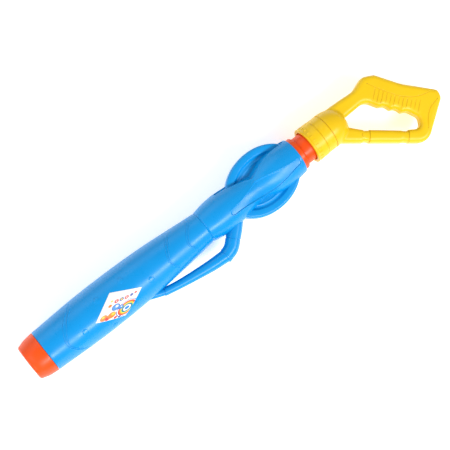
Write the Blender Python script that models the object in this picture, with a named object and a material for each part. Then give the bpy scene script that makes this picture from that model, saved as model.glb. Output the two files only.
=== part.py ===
"""A child-size ball inflation pump, lying on its side.

A double-skinned barrel (two clamshell halves around a straight cylinder tube) carries a
push-on end cap, a check valve and an outlet at one end and a rod gland at the other. The
plunger is a rod with a piston and cup seal at one end and a hollow two-part handle at the
other. Stations are distances along the barrel's axis (+X) from the end cap's outer face.
"""
import math

import bmesh
import bpy
from mathutils import Matrix, Vector

MM = 0.001

# Fits
GAP = 0.30 * MM                  # between pieces that touch or plug together
SLIDE_GAP = 0.15 * MM            # round a piece that slides in a bore
PARTING_GAP = 0.30 * MM          # between the two halves of a clamshell

# Cylinder and plunger
BORE_RADIUS = 12.0 * MM
TUBE_WALL = 1.5 * MM
ROD_RADIUS = 6.0 * MM
ROD_WALL = 2.0 * MM
PISTON_LENGTH = 10.0 * MM
CUP_LENGTH = 5.0 * MM
BUMPER_LENGTH = 3.0 * MM

# Body shell: lengths of its zones along the axis
CAP_LENGTH = 21.7 * MM
BARREL_LENGTH = 216.0 * MM
UPPER_TULIP_LENGTH = 74.0 * MM
LOWER_TULIP_LENGTH = 57.2 * MM
SHELL_WALL = 2.2 * MM
TUBE_ROOM = 1.2 * MM             # air between the tube and the shell at the waist

# Body shell: how far each place swells above the waist's radius
SWELL_CAP_END = 4.6 * MM
SWELL_CAP_JOINT = 7.9 * MM
SWELL_BELLY = 10.5 * MM
SWELL_CREASE = 2.2 * MM
SWELL_SHOULDER = 5.3 * MM
SWELL_LOWER_TULIP = 7.4 * MM
SWELL_RIM = 4.9 * MM

# Oval disc moulded across the waist
DISC_LENGTH = 95.0 * MM
DISC_WIDTH = 71.6 * MM
DISC_THICKNESS = 16.0 * MM
DISC_TILT = math.radians(6.0)
DISC_RIM_WIDTH = 8.0 * MM
DISC_RECESS = 2.0 * MM
DISC_PAST_WAIST = 10.3 * MM

# Bent pipe moulded on the barrel's side
PIPE_REACH = 39.5 * MM           # the elbow's centre line from the barrel's axis
PIPE_THIN_RADIUS = 4.6 * MM
PIPE_THICK_RADIUS = 7.6 * MM
PIPE_ELBOW_RADIUS = 8.6 * MM
PIPE_WALL = 1.8 * MM

# End cap, valve and outlet
CAP_WALL = 2.0 * MM
SPIGOT_LENGTH = 11.0 * MM        # of the body shell, inside the end cap
VALVE_STATION = 64.0 * MM        # the housing's inner face, where the cylinder begins
HOUSING_LENGTH = 18.0 * MM
HOUSING_FLANGE = 4.0 * MM
HOUSING_RADIUS = 9.0 * MM
BALL_RADIUS = 3.2 * MM
NOZZLE_LENGTH = 36.0 * MM
NOZZLE_RADIUS = 5.0 * MM
NEEDLE_RADIUS = 1.0 * MM
NEEDLE_LENGTH = 32.0 * MM

# Neck gland and rod bush
NECK_RADIUS = 16.9 * MM
NECK_LENGTH = 25.0 * MM          # out of the body shell
NECK_FLANGE = 6.0 * MM
NECK_FLANGE_SWELL = 2.9 * MM
GLAND_SPIGOT = 17.0 * MM         # inside the body shell
BUSH_RADIUS = 9.0 * MM
BUSH_LENGTH = 14.0 * MM

# Handle
HANDLE_START = 17.8 * MM         # open rim of the collar, from the body shell's rim
HANDLE_THICKNESS = 18.0 * MM
HANDLE_WALL = 2.2 * MM
HANDLE_ROUNDING = 2.6 * MM
COLLAR_RING_LENGTH = 15.5 * MM
COLLAR_BAND_LENGTH = 12.4 * MM
COLLAR_WALL = 2.0 * MM
DOME_LENGTH = 24.0 * MM
PIN_RADIUS = 1.6 * MM

# Screws
SCREW_SHANK = 1.2 * MM
SCREW_HEAD = 2.8 * MM
SCREW_HEAD_HEIGHT = 1.8 * MM
SCREW_LENGTH = 10.0 * MM
BOSS_WALL = 1.7 * MM

# Diamond label on the barrel
LABEL_STATION = 111.3 * MM
LABEL_LENGTH = 62.0 * MM
LABEL_HEIGHT = 33.0 * MM
LABEL_TURN = math.radians(-21.0)
LABEL_THICKNESS = 0.3 * MM

# Facets round each size of turned piece
ROUND_LARGE = 32
ROUND_MEDIUM = 24
ROUND_SMALL = 10
PIPE_SIDES = 10
CURVE_STEPS = 2
ARC_STEP = math.radians(24.0)

# Worked out from the sizes above
TUBE_RADIUS = BORE_RADIUS + TUBE_WALL
WAIST_RADIUS = TUBE_RADIUS + TUBE_ROOM + SHELL_WALL
CREASE_STATION = CAP_LENGTH + BARREL_LENGTH
WAIST_STATION = CREASE_STATION + UPPER_TULIP_LENGTH
RIM_STATION = WAIST_STATION + LOWER_TULIP_LENGTH
NECK_END = RIM_STATION + NECK_LENGTH
COLLAR_STATION = RIM_STATION + HANDLE_START
DOME_STATION = COLLAR_STATION + COLLAR_RING_LENGTH + GAP + COLLAR_BAND_LENGTH
TUBE_START = VALVE_STATION - HOUSING_FLANGE
TUBE_END = RIM_STATION - GLAND_SPIGOT + 3.0 * MM
PISTON_FACE = VALVE_STATION + 4.5 * MM
PIN_PLACE = 10.0 * MM            # from the dome's station
ROD_TIP = PIN_PLACE + 7.0 * MM

COLOURS = {
    "blue_plastic": ((0.0, 0.29, 0.75), 0.32, 0.0),
    "orange_plastic": ((0.95, 0.09, 0.01), 0.35, 0.0),
    "yellow_plastic": ((0.96, 0.63, 0.02), 0.35, 0.0),
    "clear_white_plastic": ((0.75, 0.78, 0.8), 0.3, 0.0),
    "white_plastic": ((0.8, 0.8, 0.78), 0.45, 0.0),
    "black_rubber": ((0.02, 0.02, 0.02), 0.75, 0.0),
    "steel": ((0.6, 0.6, 0.62), 0.3, 1.0),
    "brass": ((0.75, 0.5, 0.2), 0.3, 1.0),
    "label_paper": ((0.85, 0.85, 0.85), 0.5, 0.0),
}


# ---------------------------------------------------------------- helpers
def material(name):
    """The named material, made once."""
    made = bpy.data.materials.get(name)
    if made:
        return made
    colour, roughness, metallic = COLOURS[name]
    made = bpy.data.materials.new(name)
    made.use_nodes = True
    made.diffuse_color = (*colour, 1.0)
    shader = made.node_tree.nodes["Principled BSDF"]
    shader.inputs["Base Color"].default_value = (*colour, 1.0)
    shader.inputs["Roughness"].default_value = roughness
    shader.inputs["Metallic"].default_value = metallic
    return made


def make_object(name, bm):
    """Turn a bmesh into a scene object with outward faces and smooth round sides."""
    bmesh.ops.remove_doubles(bm, verts=bm.verts, dist=1e-6)
    bmesh.ops.recalc_face_normals(bm, faces=bm.faces)
    mesh = bpy.data.meshes.new(name)
    bm.to_mesh(mesh)
    bm.free()
    item = bpy.data.objects.new(name, mesh)
    bpy.context.scene.collection.objects.link(item)
    return item


def finish(item, material_name):
    """Give a finished piece its material and smooth shading."""
    item.data.materials.clear()
    item.data.materials.append(material(material_name))
    item.data.shade_smooth()
    item.data.set_sharp_from_angle(angle=math.radians(35.0))
    return item


def turned(name, profile, segments, along="X"):
    """Turn a profile of (station, radius) points about the X axis, or about Z."""
    bm = bmesh.new()
    start = math.pi / segments
    rim = [bm.verts.new((x, r * math.sin(start), r * math.cos(start))) for x, r in profile]
    edges = [bm.edges.new(pair) for pair in zip(rim, rim[1:])]
    if profile[0][1] > 0.0:
        edges.append(bm.edges.new((rim[-1], rim[0])))
    bmesh.ops.spin(bm, geom=rim + edges, cent=(0, 0, 0), axis=(1, 0, 0),
                   angle=2.0 * math.pi, steps=segments, use_merge=True)
    if along == "Z":
        bmesh.ops.rotate(bm, verts=bm.verts, matrix=Matrix.Rotation(math.radians(-90.0), 3, "Y"))
    return make_object(name, bm)


def disc_between(name, radius, start, end, segments, along="X"):
    """A plain cylinder from one station to another."""
    return turned(name, [(start, 0.0), (start, radius), (end, radius), (end, 0.0)], segments, along)


def box(name, length, width, height):
    """A plain box centred on the origin."""
    bm = bmesh.new()
    bmesh.ops.create_cube(bm, size=1.0)
    bmesh.ops.scale(bm, verts=bm.verts, vec=(length, width, height))
    return make_object(name, bm)


def boolean(target, tools, operation):
    """Join, cut or keep the common part of target with each tool, then remove the tools."""
    for tool in tools:
        tool.display_type = "WIRE"
        tool.hide_render = True
        step = target.modifiers.new(operation.lower(), "BOOLEAN")
        step.operation = operation
        step.solver = "EXACT"
        step.object = tool
    depsgraph = bpy.context.evaluated_depsgraph_get()
    done = bpy.data.meshes.new_from_object(target.evaluated_get(depsgraph))
    bm = bmesh.new()
    bm.from_mesh(done)
    bmesh.ops.remove_doubles(bm, verts=bm.verts, dist=1e-6)
    bmesh.ops.dissolve_degenerate(bm, dist=1e-6, edges=bm.edges)
    bm.to_mesh(done)
    bm.free()
    target.modifiers.clear()
    target.data = done
    for tool in tools:
        bpy.data.objects.remove(tool)
    return target


def copy_of(item, name):
    """A copy with a mesh of its own."""
    twin = item.copy()
    twin.data = item.data.copy()
    twin.name = name
    bpy.context.scene.collection.objects.link(twin)
    return twin


def move(item, offset):
    """Shift the mesh itself, so the object keeps its origin."""
    item.data.transform(Matrix.Translation(Vector(offset)))
    return item


def smooth_curve(points, steps):
    """Points along a smooth curve through (x, y) or (x, y, size) points, ends included."""
    knots = [Vector(point) for point in points]
    knots = [knots[0]] + knots + [knots[-1]]
    curve = []
    for before, start, end, after in zip(knots, knots[1:], knots[2:], knots[3:]):
        span = max((end - start).length, 1e-9)
        lead = (end - before) * (span / max((end - before).length, 1e-9))
        tail = (after - start) * (span / max((after - start).length, 1e-9))
        for step in range(steps):
            t = step / steps
            curve.append(start * (2 * t**3 - 3 * t**2 + 1) + lead * (t**3 - 2 * t**2 + t)
                         + end * (3 * t**2 - 2 * t**3) + tail * (t**3 - t**2))
    curve.append(knots[-1])
    return curve


def rounded_outline(corners):
    """An outline through (x, y, radius) corners, each rounded by an arc of its radius."""
    outline = []
    count = len(corners)
    for index, (x, y, radius) in enumerate(corners):
        here = Vector((x, y))
        back = Vector(corners[index - 1][:2]) - here
        ahead = Vector(corners[(index + 1) % count][:2]) - here
        half = back.angle(ahead) / 2.0
        turn = math.pi - 2.0 * half
        reach = min(radius / math.tan(half), 0.49 * back.length, 0.49 * ahead.length)
        radius = reach * math.tan(half)
        if radius < 0.05 * MM or turn < math.radians(1.0):
            outline.append(here)
            continue
        centre = here + (back.normalized() + ahead.normalized()).normalized() * (radius / math.sin(half))
        first = here + back.normalized() * reach - centre
        side = 1.0 if back.x * ahead.y - back.y * ahead.x < 0.0 else -1.0
        steps = max(2, round(turn / ARC_STEP))
        for step in range(steps + 1):
            spin = Matrix.Rotation(side * turn * step / steps, 2)
            outline.append(centre + spin @ first)
    return outline


def inset_corners(corners, depth):
    """Move every side of a counter-clockwise outline inwards by depth, its arcs with it."""
    count = len(corners)
    moved = []
    for index, (x, y, radius) in enumerate(corners):
        here = Vector((x, y))
        back = (here - Vector(corners[index - 1][:2])).normalized()
        ahead = (Vector(corners[(index + 1) % count][:2]) - here).normalized()
        side_back = Vector((-back.y, back.x))
        side_ahead = Vector((-ahead.y, ahead.x))
        bisector = side_back + side_ahead
        bisector = bisector * (2.0 / bisector.length_squared)
        convex = back.x * ahead.y - back.y * ahead.x > 0.0
        arc = max(radius - depth, 0.3 * MM) if convex else max(radius + depth, 0.0)
        spot = here + bisector * depth
        moved.append((spot.x, spot.y, arc))
    return moved


def stacked(name, layers):
    """Skin a stack of outlines, given as (height, corners), into one closed solid."""
    bm = bmesh.new()
    rings = []
    for height, outline in layers:
        rings.append([bm.verts.new((point.x, point.y, height)) for point in outline])
    for lower, upper in zip(rings, rings[1:]):
        for index in range(len(lower)):
            after = (index + 1) % len(lower)
            bm.faces.new((lower[index], lower[after], upper[after], upper[index]))
    bm.faces.new(list(reversed(rings[0])))
    bm.faces.new(rings[-1])
    return make_object(name, bm)


def tapered_pipe(name, route, sides):
    """Skin rings across a route of (x, y, radius) points in the plane of the axis."""
    bm = bmesh.new()
    rings = []
    for index, point in enumerate(route):
        ahead = route[min(index + 1, len(route) - 1)]
        behind = route[max(index - 1, 0)]
        run = Vector((ahead.x - behind.x, ahead.y - behind.y, 0.0)).normalized()
        across = Vector((-run.y, run.x, 0.0))
        ring = []
        for side in range(sides):
            angle = 2.0 * math.pi * (side + 0.5) / sides
            spoke = across * math.cos(angle) + Vector((0.0, 0.0, 1.0)) * math.sin(angle)
            ring.append(bm.verts.new(Vector((point.x, point.y, 0.0)) + spoke * point.z))
        rings.append(ring)
    for lower, upper in zip(rings, rings[1:]):
        for side in range(sides):
            after = (side + 1) % sides
            bm.faces.new((lower[side], lower[after], upper[after], upper[side]))
    bm.faces.new(rings[0])
    bm.faces.new(rings[-1])
    return make_object(name, bm)


def split_halves(whole, front_name, back_name, material_name, station):
    """Cut a casing along its parting plane into two halves, then move them along the axis."""
    deep = 0.2
    for name, side in ((front_name, 1.0), (back_name, -1.0)):
        half = copy_of(whole, name)
        other_side = box("other_side", 3.0, 1.0, deep)
        move(other_side, (0.0, 0.0, side * (PARTING_GAP / 2.0 - deep / 2.0)))
        boolean(half, [other_side], "DIFFERENCE")
        finish(move(half, (station, 0.0, 0.0)), material_name)
    bpy.data.objects.remove(whole)


def screw(name, x, y, head_face):
    """A pan-head screw driven upwards, with its head's flat underside at height head_face."""
    profile = [
        (-SCREW_HEAD_HEIGHT, 0.0),
        (-SCREW_HEAD_HEIGHT, 0.62 * SCREW_HEAD),
        (-0.45 * SCREW_HEAD_HEIGHT, SCREW_HEAD),
        (0.0, SCREW_HEAD),
        (0.0, SCREW_SHANK),
        (SCREW_LENGTH - SCREW_SHANK, SCREW_SHANK),
        (SCREW_LENGTH, 0.0),
    ]
    item = turned(name, profile, ROUND_SMALL, along="Z")
    item.location = (x, y, head_face)
    return finish(item, "steel")


def screw_holes(places, seat):
    """Cutters for screws driven from the back: clearance hole and counterbore."""
    cutters = []
    for x, y in places:
        hole = SCREW_SHANK + GAP
        deep = seat + SCREW_LENGTH + GAP
        profile = [
            (-1.0, 0.0),
            (-1.0, SCREW_HEAD + GAP),
            (seat + GAP, SCREW_HEAD + GAP),
            (seat + GAP, hole),
            (deep, hole),
            (deep, 0.0),
        ]
        cutters.append(move(turned("screw_hole", profile, ROUND_SMALL, along="Z"), (x, y, 0.0)))
    return cutters


def screw_bosses(places, height):
    """Pillars that carry the screws, from face to face of the casing."""
    radius = SCREW_HEAD + GAP + BOSS_WALL
    return [move(disc_between("boss", radius, -height, height, ROUND_SMALL, along="Z"), (x, y, 0.0))
            for x, y in places]


# ---------------------------------------------------------------- body shell
def body_outline():
    """The body's outer profile from the cap joint to the rim, as (station, radius)."""
    barrel = smooth_curve([
        (CAP_LENGTH, WAIST_RADIUS + SWELL_CAP_JOINT),
        (CAP_LENGTH + 0.31 * BARREL_LENGTH, WAIST_RADIUS + SWELL_BELLY),
        (CAP_LENGTH + 0.65 * BARREL_LENGTH, WAIST_RADIUS + 0.83 * SWELL_BELLY),
        (CREASE_STATION, WAIST_RADIUS + SWELL_CREASE),
    ], CURVE_STEPS)
    upper = smooth_curve([
        (CREASE_STATION, WAIST_RADIUS + SWELL_CREASE),
        (CREASE_STATION + 0.22 * UPPER_TULIP_LENGTH, WAIST_RADIUS + 0.93 * SWELL_SHOULDER),
        (CREASE_STATION + 0.42 * UPPER_TULIP_LENGTH, WAIST_RADIUS + SWELL_SHOULDER),
        (WAIST_STATION - 0.2 * UPPER_TULIP_LENGTH, WAIST_RADIUS + 0.4 * SWELL_SHOULDER),
        (WAIST_STATION, WAIST_RADIUS),
    ], CURVE_STEPS)
    lower = smooth_curve([
        (WAIST_STATION, WAIST_RADIUS),
        (WAIST_STATION + 0.29 * LOWER_TULIP_LENGTH, WAIST_RADIUS + 0.76 * SWELL_LOWER_TULIP),
        (WAIST_STATION + 0.54 * LOWER_TULIP_LENGTH, WAIST_RADIUS + SWELL_LOWER_TULIP),
        (RIM_STATION, WAIST_RADIUS + SWELL_RIM),
    ], CURVE_STEPS)
    return [(point.x, point.y) for point in barrel + upper[1:] + lower[1:]]


def radius_at(outline, station):
    """The outline's radius at a station, along its straight facets."""
    for (x0, r0), (x1, r1) in zip(outline, outline[1:]):
        if x0 <= station <= x1:
            return r0 + (r1 - r0) * (station - x0) / (x1 - x0)
    return outline[-1][1] if station > outline[-1][0] else outline[0][1]


SPIGOT_RADIUS = WAIST_RADIUS + SWELL_CAP_JOINT - CAP_WALL - GAP - 1.0 * MM
RIB_WIDTH = 3.0 * MM
FLANGE_RADIUS = SPIGOT_RADIUS - SHELL_WALL + 1.5 * MM
GLAND_RADIUS = WAIST_RADIUS + SWELL_RIM - SHELL_WALL - GAP


def body_cavity_profile(outline):
    """The hollow inside the body: valve seat ribs, mid rib, and the gland's socket."""
    flange_start = VALVE_STATION - HOUSING_LENGTH
    mid_rib = CREASE_STATION - 0.15 * BARREL_LENGTH
    spigot_bore = SPIGOT_RADIUS - SHELL_WALL
    rib_bore = HOUSING_RADIUS + 4.0 * MM
    tube_hole = TUBE_RADIUS + GAP
    flange_slot = FLANGE_RADIUS + GAP
    slot_end = flange_start + HOUSING_FLANGE + GAP

    def inside(station):
        return (station, radius_at(outline, station) - SHELL_WALL)

    first = inside(slot_end + RIB_WIDTH)
    profile = [
        (CAP_LENGTH - SPIGOT_LENGTH - 1.0 * MM, 0.0),
        (CAP_LENGTH - SPIGOT_LENGTH - 1.0 * MM, spigot_bore),
        (flange_start - GAP - RIB_WIDTH, spigot_bore),
        (flange_start - GAP - RIB_WIDTH, rib_bore),
        (flange_start - GAP, rib_bore),
        (flange_start - GAP, flange_slot),
        (slot_end, flange_slot),
        (slot_end, rib_bore),
        (first[0], rib_bore),
        first,
    ]
    profile += [inside(x) for x, _ in outline if first[0] + 4.0 * MM < x < mid_rib - 4.0 * MM]
    profile += [inside(mid_rib), (mid_rib, tube_hole), (mid_rib + RIB_WIDTH, tube_hole),
                inside(mid_rib + RIB_WIDTH)]
    socket = RIM_STATION - GLAND_SPIGOT - GAP
    profile += [inside(x) for x, _ in outline if mid_rib + RIB_WIDTH + 4.0 * MM < x < socket - 4.0 * MM]
    profile += [
        (socket - RIB_WIDTH, radius_at(outline, socket - RIB_WIDTH) - SHELL_WALL),
        (socket - RIB_WIDTH, tube_hole),
        (socket, tube_hole),
        (socket, GLAND_RADIUS + GAP),
        (RIM_STATION + 1.0 * MM, GLAND_RADIUS + GAP),
        (RIM_STATION + 1.0 * MM, 0.0),
    ]
    return profile


def oval_disc(name, shrink):
    """The oval disc, or its hollow when shrunk by the wall, centred past the waist."""
    half_long = DISC_LENGTH / 2.0 - shrink
    half_wide = DISC_WIDTH / 2.0 - shrink
    half_thick = DISC_THICKNESS / 2.0 - shrink
    recess = half_thick - DISC_RECESS
    rounding = min(3.0 * MM, half_thick * 0.6)
    inner = DISC_RIM_WIDTH
    levels = [
        (-recess, inner + 1.2 * MM),
        (-half_thick, inner),
        (-half_thick, 0.6 * rounding),
        (-half_thick + rounding, 0.0),
        (half_thick - rounding, 0.0),
        (half_thick, 0.6 * rounding),
        (half_thick, inner),
        (recess, inner + 1.2 * MM),
    ]
    layers = []
    sides = ROUND_LARGE
    for height, depth in levels:
        ring = [Vector(((half_long - depth) * math.cos(2.0 * math.pi * side / sides),
                        (half_wide - depth) * math.sin(2.0 * math.pi * side / sides)))
                for side in range(sides)]
        layers.append((height, ring))
    item = stacked(name, layers)
    item.data.transform(Matrix.Rotation(DISC_TILT, 4, "Z"))
    return move(item, (WAIST_STATION + DISC_PAST_WAIST, 0.0, 0.0))


def pipe_route(outline, shrink):
    """The bent pipe's centre line and radius, from the barrel's side round to the crease."""
    start = CAP_LENGTH + 0.54 * BARREL_LENGTH
    step = CAP_LENGTH + 0.645 * BARREL_LENGTH
    elbow = CREASE_STATION
    surface = radius_at(outline, start)
    thin = PIPE_THIN_RADIUS - shrink
    thick = PIPE_THICK_RADIUS - shrink
    bend = PIPE_ELBOW_RADIUS - shrink
    stub = [
        Vector((start, -surface + thin + 2.0 * MM, 0.86 * thin)),
        Vector((step, -PIPE_REACH + 10.2 * MM, 0.86 * thin)),
    ]
    run = smooth_curve([
        (step + 0.6 * MM, -PIPE_REACH + 10.1 * MM, thin),
        (step + 0.27 * (elbow - step), -PIPE_REACH + 6.2 * MM, 0.8 * thin + 0.2 * thick),
        (step + 0.73 * (elbow - step), -PIPE_REACH + 1.4 * MM, 0.3 * thin + 0.7 * thick),
        (elbow, -PIPE_REACH, thick),
    ], CURVE_STEPS)
    turn = smooth_curve([
        (elbow + 0.6 * MM, -PIPE_REACH, 0.5 * (thick + bend)),
        (elbow + 9.0 * MM, -PIPE_REACH + 3.2 * MM, bend),
        (elbow + 19.0 * MM, -PIPE_REACH + 11.0 * MM, bend),
        (elbow + 33.0 * MM, -PIPE_REACH + 23.5 * MM, bend),
    ], CURVE_STEPS)
    return stub, run, turn


def body_screw_places():
    """Where the body's screws stand, clear of the cylinder tube."""
    beside_tube = TUBE_RADIUS + GAP + SCREW_HEAD + GAP + BOSS_WALL + 0.2 * MM
    disc_x = WAIST_STATION + DISC_PAST_WAIST
    disc_y = DISC_WIDTH / 2.0 - DISC_RIM_WIDTH
    return [
        (CAP_LENGTH + 0.25 * BARREL_LENGTH, beside_tube),
        (CAP_LENGTH + 0.25 * BARREL_LENGTH, -beside_tube),
        (CAP_LENGTH + 0.57 * BARREL_LENGTH, beside_tube),
        (CAP_LENGTH + 0.57 * BARREL_LENGTH, -beside_tube),
        (disc_x, disc_y),
        (disc_x, -disc_y),
        (CREASE_STATION + 3.4 * MM, -PIPE_REACH + 0.6 * MM),
    ]


def body_screw_seat():
    """Height of the faces that the screw heads pull against."""
    return -(DISC_THICKNESS / 2.0 - SCREW_HEAD_HEIGHT - 1.0 * MM)


def make_body():
    """The two body halves and the screws that hold them together."""
    outline = body_outline()
    spigot_end = CAP_LENGTH - SPIGOT_LENGTH
    body = turned("body", [(spigot_end, 0.0), (spigot_end, SPIGOT_RADIUS - 0.8 * MM),
                           (spigot_end + 0.8 * MM, SPIGOT_RADIUS), (CAP_LENGTH, SPIGOT_RADIUS)]
                  + outline + [(RIM_STATION, 0.0)], ROUND_LARGE)
    stub, run, turn = pipe_route(outline, 0.0)
    boolean(body, [oval_disc("disc", 0.0), tapered_pipe("pipe", stub + run + turn, PIPE_SIDES)], "UNION")

    cavity = turned("cavity", body_cavity_profile(outline), ROUND_LARGE)
    _, run, turn = pipe_route(outline, PIPE_WALL)
    run[0] = run[0] + Vector((3.0 * MM, -0.6 * MM, 0.0))
    boolean(cavity, [oval_disc("disc_hollow", SHELL_WALL), tapered_pipe("pipe_hollow", run + turn, PIPE_SIDES)],
            "UNION")
    places = body_screw_places()
    boolean(cavity, screw_bosses(places, 0.1), "DIFFERENCE")
    keep_clear = disc_between("tube_room", TUBE_RADIUS + GAP, TUBE_START, RIM_STATION, ROUND_LARGE)
    boolean(cavity, [keep_clear], "UNION")

    boolean(body, [cavity] + screw_holes(places, body_screw_seat()), "DIFFERENCE")
    split_halves(body, "body_front_shell", "body_back_shell", "blue_plastic", 0.0)
    for number, (x, y) in enumerate(places, start=1):
        screw(f"body_screw_{number}", x, y, body_screw_seat())


def make_label():
    """A thin diamond label wrapped on the barrel's front."""
    outline = body_outline()
    cells = 8
    corners = [Vector((-LABEL_LENGTH / 2.0, 0.0)), Vector((0.0, -LABEL_HEIGHT / 2.0)),
               Vector((LABEL_LENGTH / 2.0, 0.0)), Vector((0.0, LABEL_HEIGHT / 2.0))]
    bm = bmesh.new()
    layers = []
    for lift in (GAP / 2.0, GAP / 2.0 + LABEL_THICKNESS):
        rows = []
        for i in range(cells + 1):
            row = []
            for j in range(cells + 1):
                a, b = i / cells, j / cells
                flat = (corners[0] * (1 - a) * (1 - b) + corners[1] * a * (1 - b)
                        + corners[2] * a * b + corners[3] * (1 - a) * b)
                station = LABEL_STATION + flat.x
                radius = radius_at(outline, station) + lift
                angle = LABEL_TURN + flat.y / radius
                row.append(bm.verts.new((station, radius * math.sin(angle), radius * math.cos(angle))))
            rows.append(row)
        layers.append(rows)
    for rows in layers:
        for i in range(cells):
            for j in range(cells):
                bm.faces.new((rows[i][j], rows[i + 1][j], rows[i + 1][j + 1], rows[i][j + 1]))
    inner, outer = layers
    border = ([(i, 0) for i in range(cells)] + [(cells, j) for j in range(cells)]
              + [(i, cells) for i in range(cells, 0, -1)] + [(0, j) for j in range(cells, 0, -1)])
    for (i0, j0), (i1, j1) in zip(border, border[1:] + border[:1]):
        bm.faces.new((inner[i0][j0], inner[i1][j1], outer[i1][j1], outer[i0][j0]))
    finish(make_object("diamond_label", bm), "label_paper")


def make_end_cap():
    """The push-on cap: a cup whose skirt fits over the body's spigot."""
    end = WAIST_RADIUS + SWELL_CAP_END
    joint = WAIST_RADIUS + SWELL_CAP_JOINT
    inside = SPIGOT_RADIUS + SLIDE_GAP
    rounding = 2.2 * MM
    rim = CAP_LENGTH - GAP
    profile = [(0.0, 0.0), (0.0, end - rounding)]
    for step in range(1, 3):
        angle = math.radians(45.0 * step)
        profile.append((rounding * (1.0 - math.cos(angle)), end - rounding * (1.0 - math.sin(angle))))
    profile += [
        (0.45 * CAP_LENGTH, end + 0.6 * (joint - end)),
        (rim - 0.6 * MM, joint),
        (rim, joint - 0.4 * MM),
        (rim, inside),
        (CAP_LENGTH - SPIGOT_LENGTH - 1.0 * MM, inside),
        (CAP_WALL + 1.0 * MM, inside - 2.0 * MM),
        (CAP_WALL, inside - 3.0 * MM),
        (CAP_WALL, 0.0),
    ]
    finish(turned("end_cap", profile, ROUND_LARGE), "orange_plastic")


# ---------------------------------------------------------------- cylinder and check valve
SEAL_WIDTH = 2.4 * MM
SEAL_DEPTH = 1.6 * MM
SEAT_STATION = VALVE_STATION - 3.0 * MM
BALL_STATION = SEAT_STATION - 2.2 * MM
CHAMBER_RADIUS = BALL_RADIUS + 0.8 * MM
CHAMBER_START = VALVE_STATION - HOUSING_LENGTH + 2.0 * MM
NOZZLE_SOCKET = NOZZLE_RADIUS + GAP


def make_cylinder():
    """The straight tube that the piston runs in, and the valve housing that closes it."""
    start = TUBE_START + GAP
    profile = [(start, TUBE_RADIUS), (TUBE_END, TUBE_RADIUS), (TUBE_END, BORE_RADIUS), (start, BORE_RADIUS)]
    finish(turned("cylinder_tube", profile, ROUND_MEDIUM), "clear_white_plastic")

    base = VALVE_STATION - HOUSING_LENGTH
    spigot = BORE_RADIUS - GAP
    groove = TUBE_START + 3.0 * MM
    port = 1.6 * MM
    seat_reach = math.sqrt(BALL_RADIUS**2 - port**2)
    cone = BALL_STATION + seat_reach + GAP
    profile = [
        (base, FLANGE_RADIUS),
        (base + HOUSING_FLANGE, FLANGE_RADIUS),
        (base + HOUSING_FLANGE, HOUSING_RADIUS),
        (TUBE_START - 2.0 * MM, HOUSING_RADIUS),
        (TUBE_START - 2.0 * MM, TUBE_RADIUS),
        (TUBE_START, TUBE_RADIUS),
        (TUBE_START, spigot),
        (groove, spigot),
        (groove, spigot - SEAL_DEPTH),
        (groove + SEAL_WIDTH, spigot - SEAL_DEPTH),
        (groove + SEAL_WIDTH, spigot),
        (VALVE_STATION + 2.5 * MM, spigot),
        (VALVE_STATION + 2.5 * MM, port),
        (cone, port),
        (cone - 1.8 * MM, CHAMBER_RADIUS),
        (base + 6.0 * MM, CHAMBER_RADIUS),
        (base + 6.0 * MM, NOZZLE_SOCKET),
        (base, NOZZLE_SOCKET),
    ]
    finish(turned("valve_housing", profile, ROUND_MEDIUM), "white_plastic")
    return base, groove, spigot


def ring_seal(name, station, width, inner, outer):
    """A rubber ring of rounded section, lying in its groove."""
    middle_x = station + width / 2.0
    middle_r = (inner + outer) / 2.0
    profile = []
    for side in range(8):
        angle = 2.0 * math.pi * side / 8
        profile.append((middle_x + (width / 2.0 - 0.1 * MM) * math.cos(angle),
                        middle_r + (outer - inner) / 2.0 * math.sin(angle)))
    return finish(turned(name, profile, ROUND_MEDIUM), "black_rubber")


def make_valve(base, groove, spigot):
    """The seal, ball and spring in the housing, and the outlet screwed into it."""
    ring_seal("housing_o_ring", groove, SEAL_WIDTH, spigot - SEAL_DEPTH + SLIDE_GAP,
              BORE_RADIUS - SLIDE_GAP / 2.0)

    bm = bmesh.new()
    bmesh.ops.create_uvsphere(bm, u_segments=ROUND_SMALL, v_segments=10, radius=BALL_RADIUS)
    ball = make_object("valve_ball", bm)
    ball.location = (BALL_STATION, 0.0, 0.0)
    finish(ball, "steel")

    nozzle_base = base + 6.0 * MM - GAP
    spring_start = nozzle_base + GAP
    spring_end = BALL_STATION - BALL_RADIUS + 0.35 * MM
    valve_spring(spring_start, spring_end)
    make_outlet(base, nozzle_base)


def valve_spring(start, end):
    """A small coil spring that presses the ball onto its seat."""
    wire = 0.35 * MM
    coil = 1.9 * MM
    turns = 3.5
    steps = 10
    count = int(turns * steps)
    bm = bmesh.new()
    rings = []
    for index in range(count + 1):
        angle = 2.0 * math.pi * index / steps
        share = index / count
        x = start + wire + (end - start - 2.0 * wire) * share
        centre = Vector((x, coil * math.sin(angle), coil * math.cos(angle)))
        outward = Vector((0.0, math.sin(angle), math.cos(angle)))
        ring = []
        for side in range(5):
            turn = 2.0 * math.pi * side / 5
            spoke = outward * math.cos(turn) + Vector((1.0, 0.0, 0.0)) * math.sin(turn)
            ring.append(bm.verts.new(centre + spoke * wire))
        rings.append(ring)
    for lower, upper in zip(rings, rings[1:]):
        for side in range(5):
            after = (side + 1) % 5
            bm.faces.new((lower[side], lower[after], upper[after], upper[side]))
    bm.faces.new(rings[0])
    bm.faces.new(rings[-1])
    finish(make_object("valve_spring", bm), "steel")


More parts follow.
